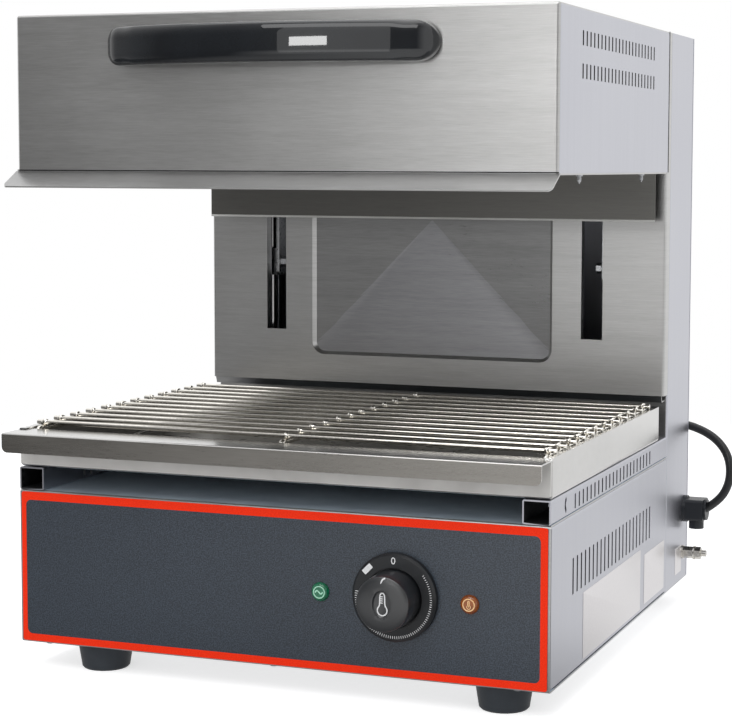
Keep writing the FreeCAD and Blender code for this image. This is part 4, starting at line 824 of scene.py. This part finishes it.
# Grid: a weld bead at every crossing of a wire and a support, each turned its own way
beadPlan = {"radius": 2.9, "long": 1.3, "wide": 0.85, "tall": 0.95, "rough": 0.45, "lift": 0.5, "seed": 4,
            "wireGap": 8, "supportGap": 30, "turnPerRow": 47, "turnPerColumn": 110}


def grouped(values, gap):
    # the middles of values that lie close together
    groups = []
    for value in sorted(values):
        if groups and value - groups[-1][-1] < gap:
            groups[-1].append(value)
        else:
            groups.append([value])
    return [(group[0] + group[-1]) / 2 for group in groups]


def makeBeads():
    wires = nodes["grid_wires"].data.vertices
    supports = nodes["grid_supports"].data.vertices
    lines = grouped([vertex.co.y for vertex in wires], mm(beadPlan["wireGap"]))
    columns = grouped([vertex.co.x for vertex in supports], mm(beadPlan["supportGap"]))
    height = middleOf(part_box("grid_wires")).z + mm(beadPlan["lift"])
    bpy.ops.object.select_all(action="DESELECT")
    bpy.ops.mesh.primitive_ico_sphere_add(subdivisions=2, radius=mm(beadPlan["radius"]))
    bead = started("weld_bead")
    bpy.ops.object.mode_set(mode="EDIT")
    bpy.ops.mesh.select_all(action="SELECT")
    bpy.ops.transform.resize(value=(beadPlan["long"], beadPlan["wide"], beadPlan["tall"]))
    bpy.ops.transform.vertex_random(offset=mm(beadPlan["rough"]), seed=beadPlan["seed"])
    bpy.ops.object.mode_set(mode="OBJECT")
    smoothed(bead, 180)
    beads = []
    for row, y in enumerate(lines):
        for column, x in enumerate(columns):
            angle = beadPlan["turnPerRow"] * row + beadPlan["turnPerColumn"] * column
            turn = Matrix.Rotation(math.radians(angle), 4, "Z")
            beads.append(copied(bead, "bead", (x, y, height), turn))
    dropped(bead)
    return finished(merged("grid_welds", beads), "grid", finishes["wire_steel"], slotOf["grid_wires"])


makeBeads()
print("grid welded")


# Handle: a bow drawn out station by station from one rounded section
handlePlan = {"half": 138.0, "reach": 40.0, "sag": 25.0, "height": 30.0, "thick": 14.5, "endTurn": 13.0,
              "leg": (106.0, 119.0), "corner": 0.30,  # the stations lie closer where the bow turns
              "stations": (137.9, 137.6, 137.0, 136.0, 134.5, 132.5, 130.0, 127.0, 124.0, 121.0, 118.0,
                           115.5, 113.0, 110.5, 108.0, 105.0, 98.0, 88.0, 77.0, 66.0, 55.0, 44.0, 33.0,
                           22.0, 11.0)}


def handleSection(along):
    # where the section stands before the hood's face, its depth and its height, by the distance from
    # the bow's middle
    plan = handlePlan
    out = abs(along)
    front = plan["sag"] * (out / plan["half"]) ** 2 - plan["reach"]
    turn = max(0.0, out - plan["half"] + plan["endTurn"])
    front += plan["endTurn"] - math.sqrt(plan["endTurn"] ** 2 - turn ** 2)
    cap = max(0.0, 2 * (out - plan["half"]) / plan["height"] + 1)
    height = plan["height"] * math.sqrt(1 - cap ** 2)
    legStart, legEnd = plan["leg"]
    share = min(1.0, max(0.0, (out - legStart) / (legEnd - legStart)))
    rear = (front + plan["thick"]) * (1 - share * share * (3 - 2 * share))
    return (front + rear) / 2, rear - front, height


def makeHandle():
    low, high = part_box("hood_handle")
    places = [-x for x in handlePlan["stations"]] + [0.0] + list(reversed(handlePlan["stations"]))
    bpy.ops.object.select_all(action="DESELECT")
    bpy.ops.mesh.primitive_plane_add(size=1)
    handle = started("hood_handle_bow")
    bpy.ops.object.mode_set(mode="EDIT")
    bpy.ops.mesh.select_all(action="SELECT")
    bpy.ops.mesh.bevel(offset=handlePlan["corner"], segments=6, affect="VERTICES")
    bpy.ops.mesh.select_all(action="SELECT")
    middle, depth, height = handleSection(places[0])
    bpy.ops.transform.resize(value=(mm(depth), mm(height), 1))
    bpy.ops.transform.translate(value=(mm(middle), 0, mm(places[0])))
    for before, after in zip(places, places[1:]):
        nextMiddle, nextDepth, nextHeight = handleSection(after)
        step = (mm(nextMiddle - middle), 0, mm(after - before))
        bpy.ops.mesh.extrude_region_move(TRANSFORM_OT_translate={"value": step})
        bpy.ops.transform.resize(value=(nextDepth / depth, nextHeight / height, 1),
                                 center_override=(mm(nextMiddle), 0, mm(after)))
        middle, depth, height = nextMiddle, nextDepth, nextHeight
    bpy.ops.object.mode_set(mode="OBJECT")
    facingOut(handle)
    smoothed(handle, 60)
    applied(handle, "WEIGHTED_NORMAL", keep_sharp=True, weight=100)
    turned(handle, (1, 0, 0), Vector(((low.x + high.x) / 2, high.y, (low.z + high.z) / 2)))
    finished(handle, "hood", finishes["plastic_black"], slotOf["hood_handle"], "hood_handle")


makeHandle()
print("handle drawn")


# Hood: the hem along the back plate's lower edge, with a painted highlight, and bars of painted shadow in the
# seam over the visor and at each rear edge
edgePlan = {
    "hem": {"proud": 0.4, "high": 1.9, "round": 0.3},
    "front": {"proud": 0.1, "sunk": 0.2, "low": 0.2, "high": 1.1, "round": 0.1},
    "rear": {"proud": 0.15, "long": 2.4, "round": 0.1},
}


def makeHoodEdges():
    hem, front, rear = edgePlan["hem"], edgePlan["front"], edgePlan["rear"]
    low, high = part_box("hood_back_plate")
    # the hem bar carries a painted highlight
    fold = bar("hood_back_hem", (low.x, low.y - mm(hem["proud"]), low.z),
               (high.x, low.y + mm(hem["proud"]), low.z + mm(hem["high"])), hem["round"])
    finished(fold, "hood", hemPaintedHighlight, slotOf["hood_back_plate"])
    low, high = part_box("hood_shell")
    # the seam bars are painted shadow in the gaps
    seam = bar("hood_front_seam_painted_shadow", (low.x, low.y - mm(front["proud"]), low.z + mm(front["low"])),
               (high.x, low.y + mm(front["sunk"]), low.z + mm(front["high"])), front["round"])
    finished(seam, "hood", seamPaintedShadow, slotOf["hood_shell"])
    for side, x in (("left", low.x), ("right", high.x)):
        seam = bar("hood_rear_seam_painted_shadow_" + side, (x - mm(rear["proud"]), high.y - mm(rear["long"]), low.z),
                   (x + mm(rear["proud"]), high.y, high.z), rear["round"])
        finished(seam, "hood", seamPaintedShadow, slotOf["hood_shell"])


makeHoodEdges()
print("hood edged")


# Small screws: tips that come through the hood's floor, and domed heads with a cross recess under the base
screwPlan = {
    "tip": {"rings": [(2.7, 0), (2.7, 1.2), (1.7, 1.4), (1.7, 2.2), (1.35, 2.5), (1.7, 2.8), (1.7, 3.4),
                      (1.35, 3.7), (1.7, 4.0), (1.6, 4.8), (0.3, 7.2)],
            "sides": 20, "x": {"left": -215, "right": 215}, "y": {"front": 102, "rear": 298}, "sheet": 1.2},
    "head": {"radius": 3.6, "rise": 1.8, "dome": [(1, 0), (1, 0.35), (0.86, 0.78), (0.5, 0.98), (0.1, 1)],
             "sides": 28, "arm": (1.15, 0.26), "armFloor": 0.45, "x": (-203, -2, 198), "y": 8},
}


def hungBelow(piece, x, y, height, body):
    place = spot(x, y, 0)
    turned(piece, (0, 0, -1), Vector((place.x, place.y, height)), (0, 1, 0))
    return finished(piece, body, finishes["zinc_steel"], "zinc_steel")


def makeTips():
    plan = screwPlan["tip"]
    first = lathe("screw_tip", plan["rings"], plan["sides"])
    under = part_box("hood_floor")[1].z - mm(plan["sheet"])
    for side, x in plan["x"].items():
        for end, y in plan["y"].items():
            hungBelow(copied(first, "hood_screw_" + side + "_" + end), x, y, under, "hood")
    dropped(first)


def makeHeads():
    plan = screwPlan["head"]
    radius, rise = plan["radius"], plan["rise"]
    first = lathe("screw_head", [(radius * out, rise * up) for out, up in plan["dome"]], plan["sides"])
    long, wide = [radius * share for share in plan["arm"]]
    for across, along in ((long, wide), (wide, long)):
        arm = plate("arm", across, along, 0.0, rise)
        arm.data.transform(Matrix.Translation((0, 0, mm(rise * plan["armFloor"]))))
        applied(first, "BOOLEAN", object=arm, operation="DIFFERENCE", solver="EXACT")
        dropped(arm)
    smoothed(first, 30)
    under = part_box("base_bottom_plate")[0].z
    for number, x in enumerate(plan["x"]):
        hungBelow(copied(first, "base_screw_" + str(number + 1)), x, plan["y"], under, "base")
    dropped(first)


makeTips()
makeHeads()
print("screws driven")


# Three bare plates on the right side
platePlan = {
    "thick": 0.22, "corner": 1.5, "edge": 0.08,
    "places": {
        "side_plate_long": {"on": "base_side_right", "y": (90, 272.5), "z": (27, 80)},
        "side_plate_short": {"on": "base_side_right", "y": (286, 360), "z": (29, 73)},
        "tower_plate": {"on": "tower_side_right", "y": (405, 430), "z": (31, 56)},
    },
}


def makePlates():
    for name, place in platePlan["places"].items():
        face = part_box(place["on"])[1].x
        (front, rear), (low, high) = place["y"], place["z"]
        piece = plate(name, rear - front, high - low, platePlan["corner"], platePlan["thick"],
                      platePlan["edge"])
        turned(piece, (1, 0, 0), Vector((face, spot(0, (front + rear) / 2, 0).y, mm((low + high) / 2))))
        finished(piece, "base", plateFilm, "side_steel")


makePlates()
print("plates stuck on")


# Floor, lamps and air
studioPlan = {
    "floor": {"radius": 1.5, "colour": (0.80, 0.80, 0.81), "glow": 0.62, "back": 0.94,
              "backSpan": (-0.35, 0.1), "side": 0.95, "sideSpan": (-0.8, 0.15), "nearSpan": (-0.5, -0.3)},
    "air": {"diffuse": 0.62, "front": 0.13, "back": 1.04, "backSpan": (-0.62, 0.05),
            "rightSpan": (0.35, 0.85), "lift": 0.30, "liftSpan": (0.0, 0.8), "table": 1.3,
            "tableHeight": (-0.16, 0.03), "tableSpan": (-0.55, -0.2)},
    "lamps": {
        "front": {"place": (-0.12, -2.60, 0.86), "aim": (-0.12, 0, 0.75), "size": (1.26, 1.8),
                  "radiance": 0.88},
        "upper": {"place": (0.10, -2.2, 2.25), "aim": (0, 0, 0.3), "size": (2.4, 1.2), "radiance": 2.6},
        "top": {"place": (-0.1, -0.2, 2.3), "aim": (0, 0, 0.2), "size": (2.0, 1.6), "radiance": 1.2},
        "window": {"place": (-0.36, -2.50, 0.644), "aim": (-0.36, 0, 0.644), "size": (0.42, 0.066),
                   "radiance": 13.0},
    },
}


def mirroredRoom(tree, depth, span, back):
    # what polished surfaces see: a dim room in front of the appliance, the white backdrop behind it
    return ranged(tree, depth, *span, studioPlan["air"]["front"], back)


def makeFloor():
    # paper that keeps the shadow, shown white, and mirrored as the room that stands on it
    plan = studioPlan["floor"]
    bpy.ops.object.select_all(action="DESELECT")
    bpy.ops.mesh.primitive_circle_add(vertices=96, radius=plan["radius"], fill_type="NGON")
    floor = started("studio_floor")
    material = bpy.data.materials.new("studio_paper")
    material.use_nodes = True
    tree = material.node_tree
    tree.nodes.remove(tree.nodes["Principled BSDF"])
    paper = wired(tree, "BsdfDiffuse", Color=(*plan["colour"], 1))
    seen = wired(tree, "LightPath")
    shown = calc(tree, "MAXIMUM", seen.outputs["Is Camera Ray"], seen.outputs["Is Transmission Ray"])
    glow = calc(tree, "MULTIPLY", shown, plan["glow"])
    glowing = wired(tree, "Emission", Color=(1, 1, 1, 1), Strength=glow)
    lit = wired(tree, "AddShader", i0=paper.outputs[0], i1=glowing.outputs[0])
    here = wired(tree, "SeparateXYZ", Vector=wired(tree, "TexCoord").outputs["Object"])
    far = mirroredRoom(tree, here.outputs["Y"], plan["backSpan"], plan["back"])
    rightward = calc(tree, "MULTIPLY", ranged(tree, here.outputs["X"], *plan["sideSpan"], 0.0, plan["side"]),
                     ranged(tree, here.outputs["Y"], *plan["nearSpan"], 1.0, 0.0))
    room = wired(tree, "Emission", Color=(1, 1, 1, 1), Strength=calc(tree, "ADD", far, rightward))
    both = wired(tree, "MixShader", i0=seen.outputs["Is Glossy Ray"], i1=lit.outputs[0],
                 i2=room.outputs[0])
    tree.links.new(both.outputs[0], tree.nodes["Material Output"].inputs["Surface"])
    floor.data.materials.append(material)


def makeAir():
    # white where the camera looks, a room in what metal mirrors, and even light for all the rest
    plan = studioPlan["air"]
    world = bpy.data.worlds.new("studio_air")
    bpy.context.scene.world = world
    world.use_nodes = True
    tree = world.node_tree
    way = wired(tree, "SeparateXYZ", Vector=wired(tree, "TexCoord").outputs["Generated"])
    seen = wired(tree, "LightPath")
    lift = ranged(tree, way.outputs["Z"], *plan["liftSpan"], 0.0, plan["lift"])
    room = calc(tree, "ADD", mirroredRoom(tree, way.outputs["Y"], plan["backSpan"], plan["back"]), lift)
    room = calc(tree, "MAXIMUM", room, ranged(tree, way.outputs["X"], *plan["rightSpan"], 0.0, plan["back"]))
    table = calc(tree, "MULTIPLY", ranged(tree, way.outputs["Z"], *plan["tableHeight"], plan["table"], 0.0),
                 ranged(tree, way.outputs["X"], *plan["tableSpan"], 0.0, 1.0))
    room = calc(tree, "MAXIMUM", room, table)
    shown = calc(tree, "MAXIMUM", seen.outputs["Is Camera Ray"], seen.outputs["Is Transmission Ray"])
    room = calc(tree, "MINIMUM", room, plan["back"])
    glossy = calc(tree, "MULTIPLY", seen.outputs["Is Glossy Ray"], room)
    rest = calc(tree, "SUBTRACT", 1.0, seen.outputs["Is Glossy Ray"])
    other = calc(tree, "MULTIPLY", rest, plan["diffuse"])
    strength = calc(tree, "MAXIMUM", shown, calc(tree, "ADD", glossy, other))
    tree.links.new(strength, tree.nodes["Background"].inputs["Strength"])
    tree.nodes["Background"].inputs["Color"].default_value = (1, 1, 1, 1)


def makeLamps():
    for name, lamp in studioPlan["lamps"].items():
        bpy.ops.object.light_add(type="AREA", location=lamp["place"])
        light = bpy.context.active_object
        light.name = name + "_lamp"
        light.data.shape = "RECTANGLE"
        light.data.size, light.data.size_y = lamp["size"]
        light.data.energy = lamp["radiance"] * math.pi * lamp["size"][0] * lamp["size"][1]
        aim = Vector(lamp["aim"]) - Vector(lamp["place"])
        light.rotation_euler = aim.to_track_quat("-Z", "Y").to_euler()
        light.visible_camera = False


makeFloor()
makeAir()
makeLamps()
bpy.context.scene.view_settings.view_transform = "Standard"
print("studio lit")
